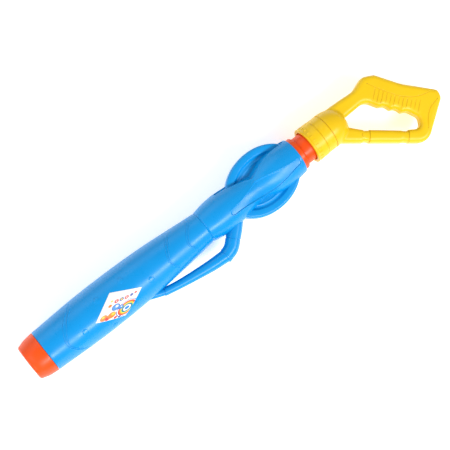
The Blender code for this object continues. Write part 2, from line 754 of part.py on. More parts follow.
def make_outlet(base, nozzle_base):
    """The outlet nozzle, its washer, and the inflation needle stowed point inwards."""
    tip = nozzle_base - NOZZLE_LENGTH
    bore = NEEDLE_RADIUS + 1.3 * MM
    shoulder = base - GAP
    washer = 1.2 * MM
    washer_start = shoulder - washer
    profile = [
        (tip, bore),
        (tip, 0.62 * NOZZLE_RADIUS),
        (tip + 4.0 * MM, 0.8 * NOZZLE_RADIUS),
        (washer_start - 8.0 * MM, 0.92 * NOZZLE_RADIUS),
        (washer_start - 8.0 * MM, NOZZLE_RADIUS + 3.0 * MM),
        (washer_start - GAP, NOZZLE_RADIUS + 3.0 * MM),
        (washer_start - GAP, NOZZLE_RADIUS),
        (nozzle_base, NOZZLE_RADIUS),
        (nozzle_base, bore),
    ]
    finish(turned("outlet_nozzle", profile, ROUND_MEDIUM), "white_plastic")

    profile = [
        (washer_start, NOZZLE_RADIUS + GAP),
        (washer_start, NOZZLE_RADIUS + 2.8 * MM),
        (shoulder, NOZZLE_RADIUS + 2.8 * MM),
        (shoulder, NOZZLE_RADIUS + GAP),
    ]
    finish(turned("nozzle_washer", profile, ROUND_MEDIUM), "black_rubber")

    head = 4.0 * MM
    thread = 7.0 * MM
    seat = tip - GAP
    needle_bore = 0.5 * NEEDLE_RADIUS
    profile = [
        (seat - head, needle_bore),
        (seat - head, 0.55 * NOZZLE_RADIUS),
        (seat, 0.62 * NOZZLE_RADIUS),
        (seat, bore - GAP),
        (seat + thread, bore - GAP),
        (seat + thread + 1.0 * MM, NEEDLE_RADIUS),
        (seat + NEEDLE_LENGTH - 1.5 * MM, NEEDLE_RADIUS),
        (seat + NEEDLE_LENGTH, needle_bore + 0.1 * MM),
        (seat + NEEDLE_LENGTH, needle_bore),
    ]
    finish(turned("inflation_needle", profile, ROUND_SMALL), "brass")


# ---------------------------------------------------------------- neck gland
def make_gland():
    """The neck: a gland that closes the cylinder and guides the rod through a bush."""
    inner_end = RIM_STATION - GLAND_SPIGOT
    flange = RIM_STATION + GAP
    flange_radius = NECK_RADIUS + NECK_FLANGE_SWELL
    tube_socket = TUBE_RADIUS + GAP
    stop = TUBE_END + GAP
    bush_seat = NECK_END - BUSH_LENGTH - 3.0 * MM
    air = ROD_RADIUS + 1.5 * MM
    profile = [
        (inner_end, tube_socket),
        (inner_end, GLAND_RADIUS),
        (flange, GLAND_RADIUS),
        (flange, flange_radius),
        (flange + NECK_FLANGE - 1.5 * MM, flange_radius),
        (flange + NECK_FLANGE, flange_radius - 1.0 * MM),
        (flange + NECK_FLANGE, NECK_RADIUS),
        (NECK_END - 1.0 * MM, NECK_RADIUS),
        (NECK_END, NECK_RADIUS - 1.0 * MM),
        (NECK_END, BUSH_RADIUS + GAP),
        (bush_seat, BUSH_RADIUS + GAP),
        (bush_seat, air),
        (stop, air),
        (stop, tube_socket),
    ]
    finish(turned("neck_gland", profile, ROUND_LARGE), "orange_plastic")

    start = bush_seat + GAP
    end = start + BUSH_LENGTH
    hole = ROD_RADIUS + SLIDE_GAP
    profile = [(start, hole), (start, BUSH_RADIUS), (end, BUSH_RADIUS), (end, hole)]
    finish(turned("rod_bush", profile, ROUND_MEDIUM), "white_plastic")
    profile = [
        (end + GAP, hole),
        (end + GAP, BUSH_RADIUS),
        (NECK_END - 0.3 * MM, BUSH_RADIUS),
        (NECK_END - 0.3 * MM, hole),
    ]
    finish(turned("rod_wiper", profile, ROUND_MEDIUM), "black_rubber")


# ---------------------------------------------------------------- plunger
def make_plunger():
    """The rod with its piston, cup seal, bumper and screw."""
    head_start = PISTON_FACE + CUP_LENGTH
    head_end = head_start + PISTON_LENGTH
    screw_hole = 1.8 * MM
    rod_start = head_start + 3.0 * MM
    rod_bore = ROD_RADIUS - ROD_WALL
    solid_end = head_end + 12.0 * MM
    profile = [
        (rod_start, screw_hole),
        (rod_start, ROD_RADIUS),
        (DOME_STATION + ROD_TIP, ROD_RADIUS),
        (DOME_STATION + ROD_TIP, rod_bore),
        (solid_end, rod_bore),
        (solid_end, screw_hole),
    ]
    rod = turned("plunger_rod", profile, ROUND_MEDIUM)
    cutter = disc_between("pin_hole", PIN_RADIUS + SLIDE_GAP, -0.1, 0.1, ROUND_SMALL, along="Z")
    boolean(rod, [move(cutter, (DOME_STATION + PIN_PLACE, 0.0, 0.0))], "DIFFERENCE")
    finish(rod, "yellow_plastic")

    guide = BORE_RADIUS - GAP
    waist = 0.72 * BORE_RADIUS
    profile = [
        (head_start + GAP, screw_hole),
        (head_start + GAP, guide),
        (head_start + 2.5 * MM, guide),
        (head_start + 2.5 * MM, waist),
        (head_end - 2.5 * MM, waist),
        (head_end - 2.5 * MM, guide),
        (head_end, guide),
        (head_end, ROD_RADIUS + GAP),
        (rod_start - GAP, ROD_RADIUS + GAP),
        (rod_start - GAP, screw_hole),
    ]
    finish(turned("piston_head", profile, ROUND_MEDIUM), "white_plastic")

    lip = BORE_RADIUS - SLIDE_GAP
    web = 1.6 * MM
    profile = [
        (head_start, screw_hole + 0.3 * MM),
        (head_start - web, screw_hole + 0.3 * MM),
        (head_start - web, lip - 3.0 * MM),
        (PISTON_FACE, lip - 1.0 * MM),
        (PISTON_FACE, lip),
        (head_start - web, lip - 0.5 * MM),
        (head_start, lip - 0.8 * MM),
    ]
    finish(turned("piston_cup", profile, ROUND_MEDIUM), "black_rubber")

    washer_end = head_start - web - GAP
    washer_radius = lip - 4.2 * MM
    profile = [
        (washer_end - 0.9 * MM, screw_hole),
        (washer_end - 0.9 * MM, washer_radius),
        (washer_end, washer_radius),
        (washer_end, screw_hole),
    ]
    finish(turned("piston_washer", profile, ROUND_MEDIUM), "steel")

    seat = washer_end - 0.9 * MM - GAP
    shank = screw_hole - GAP
    profile = [
        (seat - 1.8 * MM, 0.0),
        (seat - 1.8 * MM, 2.2 * MM),
        (seat - 1.0 * MM, 3.2 * MM),
        (seat, 3.2 * MM),
        (seat, shank),
        (solid_end - 2.0 * MM, shank),
        (solid_end - 0.8 * MM, 0.0),
    ]
    finish(turned("piston_screw", profile, ROUND_SMALL), "steel")

    profile = [
        (head_end + GAP, ROD_RADIUS + GAP),
        (head_end + GAP, BORE_RADIUS - 1.5 * MM),
        (head_end + GAP + BUMPER_LENGTH, BORE_RADIUS - 1.5 * MM),
        (head_end + GAP + BUMPER_LENGTH, ROD_RADIUS + GAP),
    ]
    finish(turned("stop_bumper", profile, ROUND_MEDIUM), "black_rubber")


# ---------------------------------------------------------------- handle
# The handle is modelled with its dome's station at zero and then moved along the axis.
# Corners are (distance from the dome's station, height across the axis, rounding) in mm.
RIDGE_COUNT = 3
RIDGE_HEIGHT = 1.5 * MM
STRUT_ANGLE = math.radians(-37.7)
STRUT_NECKS = ((31.8 * MM, -31.6 * MM), (67.6 * MM, -59.3 * MM))
NECK_GROOVE_WIDTH = 4.0 * MM
NECK_DEPTH = 1.6 * MM
STRUT_NECK_WIDTH = 10.8 * MM
NECK_BLOCK_RADIUS = 7.0 * MM


def handle_corners():
    """The handle's outer outline, counter-clockwise from the collar's lower side."""
    points = [
        (-4.0, -17.0, 0.0),
        (6.0, -21.8, 6.0),
        (85.4, -82.0, 17.0),
        (131.0, -50.6, 8.0),
        (133.2, -40.6, 6.0),
        (102.8, -9.6, 60.0),
        (84.0, 17.4, 5.5),
        (70.5, 23.9, 11.0),
        (52.0, 17.4, 18.0),
        (31.0, 18.9, 40.0),
        (-4.0, 20.4, 0.0),
    ]
    return [(a * MM, b * MM, c * MM) for a, b, c in points]


def opening_corners(ridges):
    """The finger opening's outline, counter-clockwise, with or without finger ridges."""
    points = [
        (20.6, -9.6, 2.0),
        (33.0, -22.8, 20.0),
        (68.5, -50.8, 20.0),
        (88.4, -63.0, 7.0),
        (94.6, -52.0, 6.0),
    ]
    grip_low = Vector((90.6, -45.6))
    grip_high = Vector((57.0, -4.6))
    run = grip_high - grip_low
    away = Vector((run.y, -run.x)).normalized() * (RIDGE_HEIGHT / MM)
    if ridges:
        for number in range(1, RIDGE_COUNT + 1):
            bay = grip_low + run * ((number - 0.5) / (RIDGE_COUNT + 1)) + away
            crest = grip_low + run * (number / (RIDGE_COUNT + 1))
            points += [(bay.x, bay.y, 9.0), (crest.x, crest.y, 1.6)]
    points += [(55.6, -0.8, 12.0), (24.6, -1.8, 3.0)]
    return [(a * MM, b * MM, c * MM) for a, b, c in points]


def plate(name, corners, half_height, rounding):
    """A plate of the given outline, its long edges rounded."""
    layers = []
    for height, depth in ((-half_height, rounding), (-half_height + rounding, 0.0),
                          (half_height - rounding, 0.0), (half_height, rounding)):
        layers.append((height, offset_outline(corners, depth)))
    return stacked(name, layers)


def offset_outline(corners, depth):
    """The rounded outline moved inwards by depth, point for point."""
    outline = rounded_outline(corners)
    if depth == 0.0:
        return outline
    moved = []
    count = len(outline)
    for index, here in enumerate(outline):
        back = (here - outline[index - 1]).normalized()
        ahead = (outline[(index + 1) % count] - here).normalized()
        side = Vector((-back.y - ahead.y, back.x + ahead.x))
        moved.append(here + side * (depth * 2.0 / side.length_squared))
    return moved


def handle_screw_places():
    """Where the handle's screws stand."""
    return [
        (28.0 * MM, -27.4 * MM),
        (44.0 * MM, 8.6 * MM),
        (76.0 * MM, 8.0 * MM),
        (112.6 * MM, -38.3 * MM),
    ]


def neck_groove(x, y):
    """The cutter for a groove that runs all round the strut."""
    groove = box("neck_groove", NECK_GROOVE_WIDTH, 30.0 * MM, 30.0 * MM)
    core = box("neck_core", 2.0 * NECK_GROOVE_WIDTH, STRUT_NECK_WIDTH, HANDLE_THICKNESS - 2.0 * NECK_DEPTH)
    boolean(groove, [core], "DIFFERENCE")
    groove.data.transform(Matrix.Rotation(STRUT_ANGLE, 4, "Z"))
    return move(groove, (x, y, 0.0))


def dome_profile(shrink, start):
    """The collar's shoulder, which narrows from the collar to the handle's plate."""
    radius = NECK_RADIUS + GAP + 2.0 * COLLAR_WALL + GAP + 0.6 * MM - shrink
    tip = HANDLE_THICKNESS / 2.0 - shrink - 0.8 * MM
    points = []
    for step in range(6):
        angle = math.radians(18.0 * step)
        points.append((start + (DOME_LENGTH - shrink) * math.sin(angle),
                       tip + (radius - tip) * math.cos(angle)))
    return points


def make_handle():
    """The hollow handle halves with the collar, the ring round it, the pin and the screws."""
    half = HANDLE_THICKNESS / 2.0
    bore = NECK_RADIUS + 2.0 * GAP
    spigot = bore + COLLAR_WALL
    ring_outer = spigot + GAP + COLLAR_WALL
    band = -COLLAR_BAND_LENGTH
    ring_end = band - GAP
    ring_start = ring_end - COLLAR_RING_LENGTH
    spigot_start = ring_start + 3.0 * MM
    groove = -1.2 * MM
    profile = [
        (spigot_start, 0.0),
        (spigot_start, spigot),
        (band, spigot),
        (band, ring_outer - 0.4 * MM),
        (groove, ring_outer - 0.4 * MM),
        (groove, ring_outer - 1.4 * MM),
        (0.0, ring_outer - 1.4 * MM),
    ] + dome_profile(0.0, 0.0) + [(DOME_LENGTH, 0.0)]
    solid = turned("handle", profile, ROUND_LARGE)
    outer = plate("handle_plate", handle_corners(), half, HANDLE_ROUNDING)
    opening = stacked("finger_hole", [(-0.1, rounded_outline(opening_corners(True))),
                                      (0.1, rounded_outline(opening_corners(True)))])
    boolean(solid, [outer], "UNION")
    grooves = [neck_groove(x, y) for x, y in STRUT_NECKS]
    boolean(solid, [opening] + grooves, "DIFFERENCE")

    web = band + 3.0 * MM
    web_end = web + 3.0 * MM
    wall = HANDLE_WALL
    cavity = turned("handle_cavity", [(web_end, 0.0)] + dome_profile(wall, web_end)[:-1]
                    + [(DOME_LENGTH - wall, 0.0)], ROUND_LARGE)
    inside = rounded_outline(inset_corners(handle_corners(), wall))
    hollow = stacked("plate_hollow", [(wall - half, inside), (half - wall, inside)])
    fence = inset_corners(opening_corners(False), -(wall + RIDGE_HEIGHT))
    boolean(hollow, [stacked("opening_wall", [(-0.1, rounded_outline(fence)),
                                              (0.1, rounded_outline(fence))])], "DIFFERENCE")
    boolean(cavity, [hollow], "UNION")
    places = handle_screw_places()
    clamp = disc_between("rod_clamp", ROD_RADIUS + 2.4 * MM, PIN_PLACE - 5.0 * MM,
                         ROD_TIP + 4.0 * MM, ROUND_LARGE)
    necks = [move(disc_between("neck_block", NECK_BLOCK_RADIUS, -0.1, 0.1, ROUND_SMALL, along="Z"),
                  (x, y, 0.0)) for x, y in STRUT_NECKS]
    boolean(cavity, screw_bosses(places, 0.1) + necks + [clamp], "DIFFERENCE")

    socket = disc_between("neck_socket", bore, spigot_start - 1.0 * MM, web, ROUND_LARGE)
    rod_hole = disc_between("rod_hole", ROD_RADIUS + SLIDE_GAP, web - 1.0 * MM, ROD_TIP + GAP, ROUND_MEDIUM)
    pin_half = ROD_RADIUS + 1.8 * MM
    pin_hole = disc_between("pin_hole", PIN_RADIUS + SLIDE_GAP, -pin_half - GAP, pin_half + GAP,
                            ROUND_SMALL, along="Z")
    move(pin_hole, (PIN_PLACE, 0.0, 0.0))
    seat = -(half - SCREW_HEAD_HEIGHT - 1.2 * MM)
    boolean(cavity, [socket, rod_hole, pin_hole], "UNION")
    boolean(solid, [cavity] + screw_holes(places, seat), "DIFFERENCE")
    split_halves(solid, "handle_front_shell", "handle_back_shell", "yellow_plastic", DOME_STATION)

    for number, (x, y) in enumerate(places, start=1):
        screw(f"handle_screw_{number}", DOME_STATION + x, y, seat)
    pin = disc_between("handle_pin", PIN_RADIUS, -pin_half, pin_half, ROUND_SMALL, along="Z")
    pin.location = (DOME_STATION + PIN_PLACE, 0.0, 0.0)
    finish(pin, "steel")

    profile = [
        (ring_start, spigot - 1.2 * MM),
        (ring_start, ring_outer - 0.2 * MM),
        (ring_start + 0.8 * MM, ring_outer + 0.3 * MM),
        (ring_start + 2.2 * MM, ring_outer),
        (ring_end, ring_outer),
        (ring_end, spigot + GAP),
        (spigot_start - GAP, spigot + GAP),
        (spigot_start - GAP, spigot - 1.2 * MM),
    ]
    ring = turned("handle_ring", profile, ROUND_LARGE)
    finish(move(ring, (DOME_STATION, 0.0, 0.0)), "yellow_plastic")


# ---------------------------------------------------------------- assembly
def stand_on_origin():
    """Parent everything to an empty placed so the pump rests centred on the origin."""
    bpy.context.view_layer.update()
    pieces = [item for item in bpy.context.scene.objects if item.type == "MESH"]
    corners = [item.matrix_world @ vertex.co for item in pieces for vertex in item.data.vertices]
    low = Vector([min(corner[axis] for corner in corners) for axis in range(3)])
    high = Vector([max(corner[axis] for corner in corners) for axis in range(3)])
    frame = bpy.data.objects.new("pump_frame", None)
    bpy.context.scene.collection.objects.link(frame)
    for item in pieces:
        item.parent = frame
    frame.location = (-(low.x + high.x) / 2.0, -(low.y + high.y) / 2.0, -low.z)
    bpy.context.view_layer.update()


def main():
    for item in list(bpy.data.objects):
        bpy.data.objects.remove(item)
    make_body()
    make_label()
    make_end_cap()
    base, groove, spigot = make_cylinder()
    make_valve(base, groove, spigot)
    make_gland()
    make_plunger()
    make_handle()
    stand_on_origin()


main()
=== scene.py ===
"""The finished looks of a child-size ball inflation pump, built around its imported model.

Stations are distances along the barrel's axis from the end cap's face. A piece is modelled with
the axis on X, and then its mesh is moved to its place in the frame.
"""

import math

import bpy
from mathutils import Matrix, Vector


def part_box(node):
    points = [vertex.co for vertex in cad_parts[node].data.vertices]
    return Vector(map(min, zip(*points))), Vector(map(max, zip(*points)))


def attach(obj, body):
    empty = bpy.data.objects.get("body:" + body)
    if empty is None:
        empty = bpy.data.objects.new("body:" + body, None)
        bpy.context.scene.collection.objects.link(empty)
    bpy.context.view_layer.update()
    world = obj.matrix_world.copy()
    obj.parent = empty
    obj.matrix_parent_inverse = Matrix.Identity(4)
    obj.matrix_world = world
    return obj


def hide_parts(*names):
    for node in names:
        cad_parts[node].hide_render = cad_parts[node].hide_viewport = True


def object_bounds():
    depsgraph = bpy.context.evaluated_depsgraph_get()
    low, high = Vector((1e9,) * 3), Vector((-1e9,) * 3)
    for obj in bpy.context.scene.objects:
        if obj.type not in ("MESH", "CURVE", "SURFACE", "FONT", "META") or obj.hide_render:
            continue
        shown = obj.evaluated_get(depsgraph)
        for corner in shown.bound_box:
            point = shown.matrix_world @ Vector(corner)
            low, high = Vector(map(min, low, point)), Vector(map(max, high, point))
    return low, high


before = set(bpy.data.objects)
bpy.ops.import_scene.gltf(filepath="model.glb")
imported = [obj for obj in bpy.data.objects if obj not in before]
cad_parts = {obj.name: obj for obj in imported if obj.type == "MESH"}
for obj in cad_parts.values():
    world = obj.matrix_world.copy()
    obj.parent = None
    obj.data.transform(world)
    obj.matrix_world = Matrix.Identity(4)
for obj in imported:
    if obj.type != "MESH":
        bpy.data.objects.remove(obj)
cad_low, cad_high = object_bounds()

MM = 0.001
SEAM = 0.3 * MM

# ---------------------------------------------------------------- places, read from the frame
cap_low, cap_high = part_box("end_cap")
body_low, body_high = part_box("body_front_shell")
gland_low, gland_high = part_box("neck_gland")
ring_low, ring_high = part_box("handle_ring")
label_low, label_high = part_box("diamond_label")
rod_low, rod_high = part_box("plunger_rod")

AXIS = Vector((cap_low.x, (cap_low.y + cap_high.y) / 2.0, (cap_low.z + cap_high.z) / 2.0))
JOINT = cap_high.x - AXIS.x + SEAM
SPIGOT = body_low.x - AXIS.x
RIM = body_high.x - AXIS.x
NECK_END = gland_high.x - AXIS.x
GLAND_START = gland_low.x - AXIS.x
RING_START = ring_low.x - AXIS.x
RING_END = ring_high.x - AXIS.x
DOME = RING_END + 12.7 * MM
CREASE = JOINT + 0.6221 * (RIM - JOINT)
WAIST = JOINT + 0.8353 * (RIM - JOINT)

# ---------------------------------------------------------------- sizes
JOINT_RADIUS = (cap_high.z - cap_low.z) / 2.0
RING_RADIUS = (ring_high.z - ring_low.z) / 2.0 - 0.3 * MM
ROD_RADIUS = (rod_high.z - rod_low.z) / 2.0
NECK_RADIUS = 16.9 * MM
WAIST_RADIUS = 16.9 * MM
SHELL_WALL = 2.2 * MM
TUBE_HOLE = 13.8 * MM
SPIGOT_RADIUS = 21.5 * MM
PARTING = 0.3 * MM

FLUTE_COUNT = 4
FLUTE_TURN = math.radians(-21.0)
FLUTE_START = WAIST - 44.0 * MM
FLUTE_END = RIM - 2.6 * MM
FLUTE_TIP_HALF = math.radians(8.5)
FLUTE_WAIST_HALF = math.radians(37.0)
FLUTE_DEPTH = 2.1 * MM
FLUTE_TIP_DEPTH = 1.2 * MM

DISC_LENGTH = 95.0 * MM
DISC_WIDTH = 71.4 * MM
DISC_THICKNESS = 16.0 * MM
DISC_TILT = math.radians(6.0)
DISC_STATION = WAIST + 10.3 * MM

HANDLE_THICKNESS = 18.0 * MM
DOME_LENGTH = 24.0 * MM
TICK_COUNT = 24

WELL_RADIUS = 3.1 * MM
SHANK_RADIUS = 1.5 * MM
BOSS_RADIUS = 4.8 * MM
HEAD_HEIGHT = 1.8 * MM

BODY_STEPS = 192
ROUND_STEPS = 96
SMALL_STEPS = 32

CAMERA_TILT = math.radians(10.0)
CAMERA_ROLL = math.radians(38.165)
CAMERA_AIM = Vector((-15.1 * MM, 8.4 * MM, 27.27 * MM))
CAMERA_DISTANCE = 1.32


# ---------------------------------------------------------------- modelling helpers
def only(item):
    """Make item the one selected and active object."""
    bpy.ops.object.select_all(action="DESELECT")
    item.select_set(True)
    bpy.context.view_layer.objects.active = item
    return item


def link(name, data):
    """A new scene object for a mesh or curve."""
    item = bpy.data.objects.new(name, data)
    bpy.context.scene.collection.objects.link(item)
    return only(item)


def edit(item, *steps):
    """Run edit-mode steps on all of item's mesh."""
    only(item)
    bpy.ops.object.mode_set(mode="EDIT")
    bpy.ops.mesh.select_all(action="SELECT")
    for step in steps:
        step()
    bpy.ops.object.mode_set(mode="OBJECT")
    return item


def cleaned(item):
    """Merge doubles and turn the faces outwards."""
    return edit(item,
                lambda: bpy.ops.mesh.remove_doubles(threshold=1e-6),
                lambda: bpy.ops.mesh.normals_make_consistent(inside=False))


def apply_place(item):
    """Put the object's location, turn and size into its mesh."""
    only(item)
    bpy.ops.object.transform_apply(location=True, rotation=True, scale=True)
    return item


def shifted(item, offset):
    """Move the mesh, so the object keeps its origin."""
    item.data.transform(Matrix.Translation(Vector(offset)))
    return item


def turned(name, profile, steps, along="X"):
    """Draw a line of (station, radius) points and spin it about X, or about Z."""
    points = [Vector((x, 0.0, r)) for x, r in profile]
    bpy.ops.object.select_all(action="DESELECT")
    bpy.ops.mesh.primitive_plane_add(size=MM, location=(0.0, 0.0, 0.0))
    item = bpy.context.active_object
    item.name = name
    bpy.ops.object.mode_set(mode="EDIT")
    bpy.ops.mesh.merge(type="CENTER")
    bpy.ops.transform.translate(value=points[0])
    closed = points if profile[0][1] == 0.0 else points + points[:1]
    for here, there in zip(closed, closed[1:]):
        bpy.ops.mesh.extrude_vertices_move(TRANSFORM_OT_translate={"value": there - here})
    bpy.ops.mesh.select_all(action="SELECT")
    bpy.ops.mesh.spin(steps=steps, angle=2.0 * math.pi, center=(0.0, 0.0, 0.0), axis=(1.0, 0.0, 0.0))
    bpy.ops.object.mode_set(mode="OBJECT")
    if along == "Z":
        item.data.transform(Matrix.Rotation(math.radians(-90.0), 4, "Y"))
    return cleaned(item)


def rod_between(name, radius, start, end, steps, along="X"):
    """A round bar from one station to another."""
    return turned(name, [(start, 0.0), (start, radius), (end, radius), (end, 0.0)], steps, along)


def with_modifier(item, kind, **settings):
    """Add a modifier and apply it."""
    only(item)
    modifier = item.modifiers.new(kind.lower(), kind)
    for key, value in settings.items():
        setattr(modifier, key, value)
    bpy.ops.object.modifier_apply(modifier=modifier.name)
    return item


def combine(item, tools, operation):
    """Join item with tools, or cut them out of it, and remove the tools."""
    group = bpy.data.collections.new("tools")
    for tool in tools:
        group.objects.link(tool)
    with_modifier(item, "BOOLEAN", operation=operation, solver="EXACT",
                  operand_type="COLLECTION", collection=group)
    edit(item, lambda: bpy.ops.mesh.remove_doubles(threshold=1e-6),
         lambda: bpy.ops.mesh.dissolve_degenerate(threshold=1e-6))
    for tool in tools:
        bpy.data.objects.remove(tool)
    bpy.data.collections.remove(group)
    return item


def copy_of(item, name):
    """A copy with its own mesh."""
    twin = item.copy()
    twin.data = item.data.copy()
    twin.name = name
    bpy.context.scene.collection.objects.link(twin)
    return twin


def swept(name, route, sides):
    """A round bar along a route of (x, y, z, radius) points, with closed ends."""
    data = bpy.data.curves.new(name, "CURVE")
    data.dimensions = "3D"
    data.bevel_depth = 1.0
    data.bevel_resolution = sides // 4
    data.use_fill_caps = True
    line = data.splines.new("POLY")
    line.points.add(len(route) - 1)
    for point, (x, y, z, radius) in zip(line.points, route):
        point.co = (x, y, z, 1.0)
        point.radius = radius
    link(name, data)
    bpy.ops.object.convert(target="MESH")
    return cleaned(bpy.context.active_object)


def flat_plate(name, outlines, half_height, rounding, grow=0.0):
    """A plate with the given outlines, the first its rim and the rest holes, its edges rounded."""
    data = bpy.data.curves.new(name, "CURVE")
    data.dimensions = "2D"
    data.fill_mode = "BOTH"
    for outline in outlines:
        line = data.splines.new("POLY")
        line.points.add(len(outline) - 1)
        for point, spot in zip(line.points, outline):
            point.co = (spot.x, spot.y, 0.0, 1.0)
        line.use_cyclic_u = True
    data.extrude = half_height - rounding
    data.bevel_depth = rounding
    data.bevel_resolution = 4
    data.offset = grow - rounding
    link(name, data)
    bpy.ops.object.convert(target="MESH")
    return cleaned(bpy.context.active_object)


def smooth_line(knots, steps):
    """Points along a smooth curve through the knots, ends included."""
    knots = [Vector(knot) for knot in knots]
    knots = [knots[0]] + knots + [knots[-1]]
    line = []
    for before, start, end, after in zip(knots, knots[1:], knots[2:], knots[3:]):
        span = (end - start).length
        lead = (end - before) * (span / (end - before).length)
        tail = (after - start) * (span / (after - start).length)
        for step in range(steps):
            t = step / steps
            line.append(start * (2 * t**3 - 3 * t**2 + 1) + lead * (t**3 - 2 * t**2 + t)
                        + end * (3 * t**2 - 2 * t**3) + tail * (t**3 - t**2))
    line.append(knots[-1])
    return line


def rounded(corners):
    """An outline through (x, y, radius) corners, each rounded by an arc."""
    outline = []
    for index, (x, y, radius) in enumerate(corners):
        here = Vector((x, y))
        back = Vector(corners[index - 1][:2]) - here
        ahead = Vector(corners[(index + 1) % len(corners)][:2]) - here
        half = back.angle(ahead) / 2.0
        reach = min(radius / math.tan(half), 0.49 * back.length, 0.49 * ahead.length)
        radius = reach * math.tan(half)
        if radius < 0.05 * MM:
            outline.append(here)
            continue
        turn = math.pi - 2.0 * half
        centre = here + (back.normalized() + ahead.normalized()).normalized() * (radius / math.sin(half))
        first = here + back.normalized() * reach - centre
        side = 1.0 if back.x * ahead.y - back.y * ahead.x < 0.0 else -1.0
        steps = max(3, round(math.degrees(turn) / 7.0))
        for step in range(steps + 1):
            outline.append(centre + Matrix.Rotation(side * turn * step / steps, 2) @ first)
    return outline


def at(line, station):
    """A line's height at a station."""
    for here, there in zip(line, line[1:]):
        if here.x <= station <= there.x:
            return here.y + (there.y - here.y) * (station - here.x) / (there.x - here.x)
    return line[0].y if station < line[0].x else line[-1].y


def ease(value):
    """0 below 0, 1 above 1 and a smooth rise between."""
    value = min(max(value, 0.0), 1.0)
    return value * value * (3.0 - 2.0 * value)


def offsets(station, radius, *steps):
    """Profile points given in mm from a station and a radius."""
    return [(station + x * MM, radius + r * MM) for x, r in steps]


def spread(first, last, pitch):
    """Stations from first up to last, evenly spaced at about the pitch."""
    count = max(1, round((last - first) / pitch))
    return [first + (last - first) * step / count for step in range(count)]


def done(item, body, material, slot, *nodes, angle=32.0):
    """Finish a piece: shading, material, place in the frame and body; the slot argument is not used."""
    only(item)
    shifted(item, AXIS)
    item.data.materials.clear()
    item.data.materials.append(material)
    bpy.ops.object.shade_smooth_by_angle(angle=math.radians(angle), keep_sharp_edges=False)
    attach(item, body)
    if nodes:
        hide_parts(*nodes)
    return item


# ---------------------------------------------------------------- materials
class Tree:
    """Adds nodes to a node tree and wires them."""

    def __init__(self, tree):
        self.tree = tree

    def add(self, kind, inputs=None, **settings):
        """Make a node, set it and wire its inputs by name or number."""
        node = self.tree.nodes.new(kind)
        for key, value in settings.items():
            setattr(node, key, value)
        for key, value in (inputs or {}).items():
            if isinstance(value, bpy.types.NodeSocket):
                self.tree.links.new(value, node.inputs[key])
            else:
                node.inputs[key].default_value = value
        return node

    def math(self, operation, first, second=0.0, clamp=False):
        """One arithmetic step."""
        node = self.add("ShaderNodeMath", {0: first, 1: second}, operation=operation, use_clamp=clamp)
        return node.outputs[0]

    def ramp(self, value, low, high, start=0.0, end=1.0):
        """Value's range from low to high stretched over start to end, clamped."""
        node = self.add("ShaderNodeMapRange", {"Value": value, "From Min": low, "From Max": high,
                                               "To Min": start, "To Max": end})
        return node.outputs["Result"]

    def mix(self, factor, first, second, blend="MIX"):
        """Mix two colours."""
        node = self.add("ShaderNodeMix", data_type="RGBA", blend_type=blend)
        for socket, value in ((node.inputs[0], factor), (node.inputs[6], first), (node.inputs[7], second)):
            if isinstance(value, bpy.types.NodeSocket):
                self.tree.links.new(value, socket)
            else:
                socket.default_value = value
        return node.outputs[2]

    def noise(self, vector, scale, detail=2.0):
        """Smooth noise from 0 to 1."""
        node = self.add("ShaderNodeTexNoise", {"Vector": vector, "Scale": scale, "Detail": detail})
        return node.outputs["Fac"]


def effect(name, inputs, outputs):
    """A shared node group with named sockets, and the tree that fills it."""
    group = bpy.data.node_groups.new(name, "ShaderNodeTree")
    for label, kind, value in inputs:
        socket = group.interface.new_socket(label, in_out="INPUT", socket_type=kind)
        if value is not None:
            socket.default_value = value
    for label, kind in outputs:
        group.interface.new_socket(label, in_out="OUTPUT", socket_type=kind)
    tree = Tree(group)
    return group, tree, tree.add("NodeGroupInput").outputs, tree.add("NodeGroupOutput")


def make_moulded_tone():
    """Slow drifts of tone, as in moulded plastic, and thin flow streaks along the part."""
    group, tree, given, result = effect(
        "moulded_tone",
        [("Vector", "NodeSocketVector", None), ("Colour", "NodeSocketColor", None),
         ("Deep", "NodeSocketColor", None), ("Amount", "NodeSocketFloat", 0.3)],
        [("Colour", "NodeSocketColor")])
    drift = tree.noise(given["Vector"], 22.0, 3.0)
    flow = tree.add("ShaderNodeMapping", {"Vector": given["Vector"], "Scale": (9.0, 60.0, 60.0)})
    streaks = tree.noise(flow.outputs[0], 2.0, 3.0)
    both = tree.math("ADD", tree.math("MULTIPLY", drift, 0.6), tree.math("MULTIPLY", streaks, 0.4))
    share = tree.math("MULTIPLY", tree.ramp(both, 0.35, 0.65), given["Amount"])
    mixed = tree.mix(share, given["Colour"], given["Deep"])
    tree.tree.links.new(mixed, result.inputs["Colour"])
    return group


def make_fine_grain():
    """A fine moulded grain for bump, and hand smudges for roughness."""
    group, tree, given, result = effect(
        "fine_grain",
        [("Vector", "NodeSocketVector", None), ("Scale", "NodeSocketFloat", 900.0),
         ("Smooth", "NodeSocketFloat", 0.3), ("Dull", "NodeSocketFloat", 0.45)],
        [("Height", "NodeSocketFloat"), ("Roughness", "NodeSocketFloat")])
    fine = tree.noise(given["Vector"], given["Scale"], 2.0)
    ripple = tree.noise(given["Vector"], tree.math("MULTIPLY", given["Scale"], 0.12), 2.0)
    height = tree.math("ADD", tree.math("MULTIPLY", fine, 0.5), tree.math("MULTIPLY", ripple, 0.5))
    smudge = tree.noise(given["Vector"], 55.0, 4.0)
    share = tree.ramp(tree.math("ADD", tree.math("MULTIPLY", smudge, 0.75),
                                tree.math("MULTIPLY", fine, 0.25)), 0.38, 0.66)
    span = tree.math("SUBTRACT", given["Dull"], given["Smooth"])
    rough = tree.math("ADD", given["Smooth"], tree.math("MULTIPLY", share, span))
    tree.tree.links.new(height, result.inputs["Height"])
    tree.tree.links.new(rough, result.inputs["Roughness"])
    return group


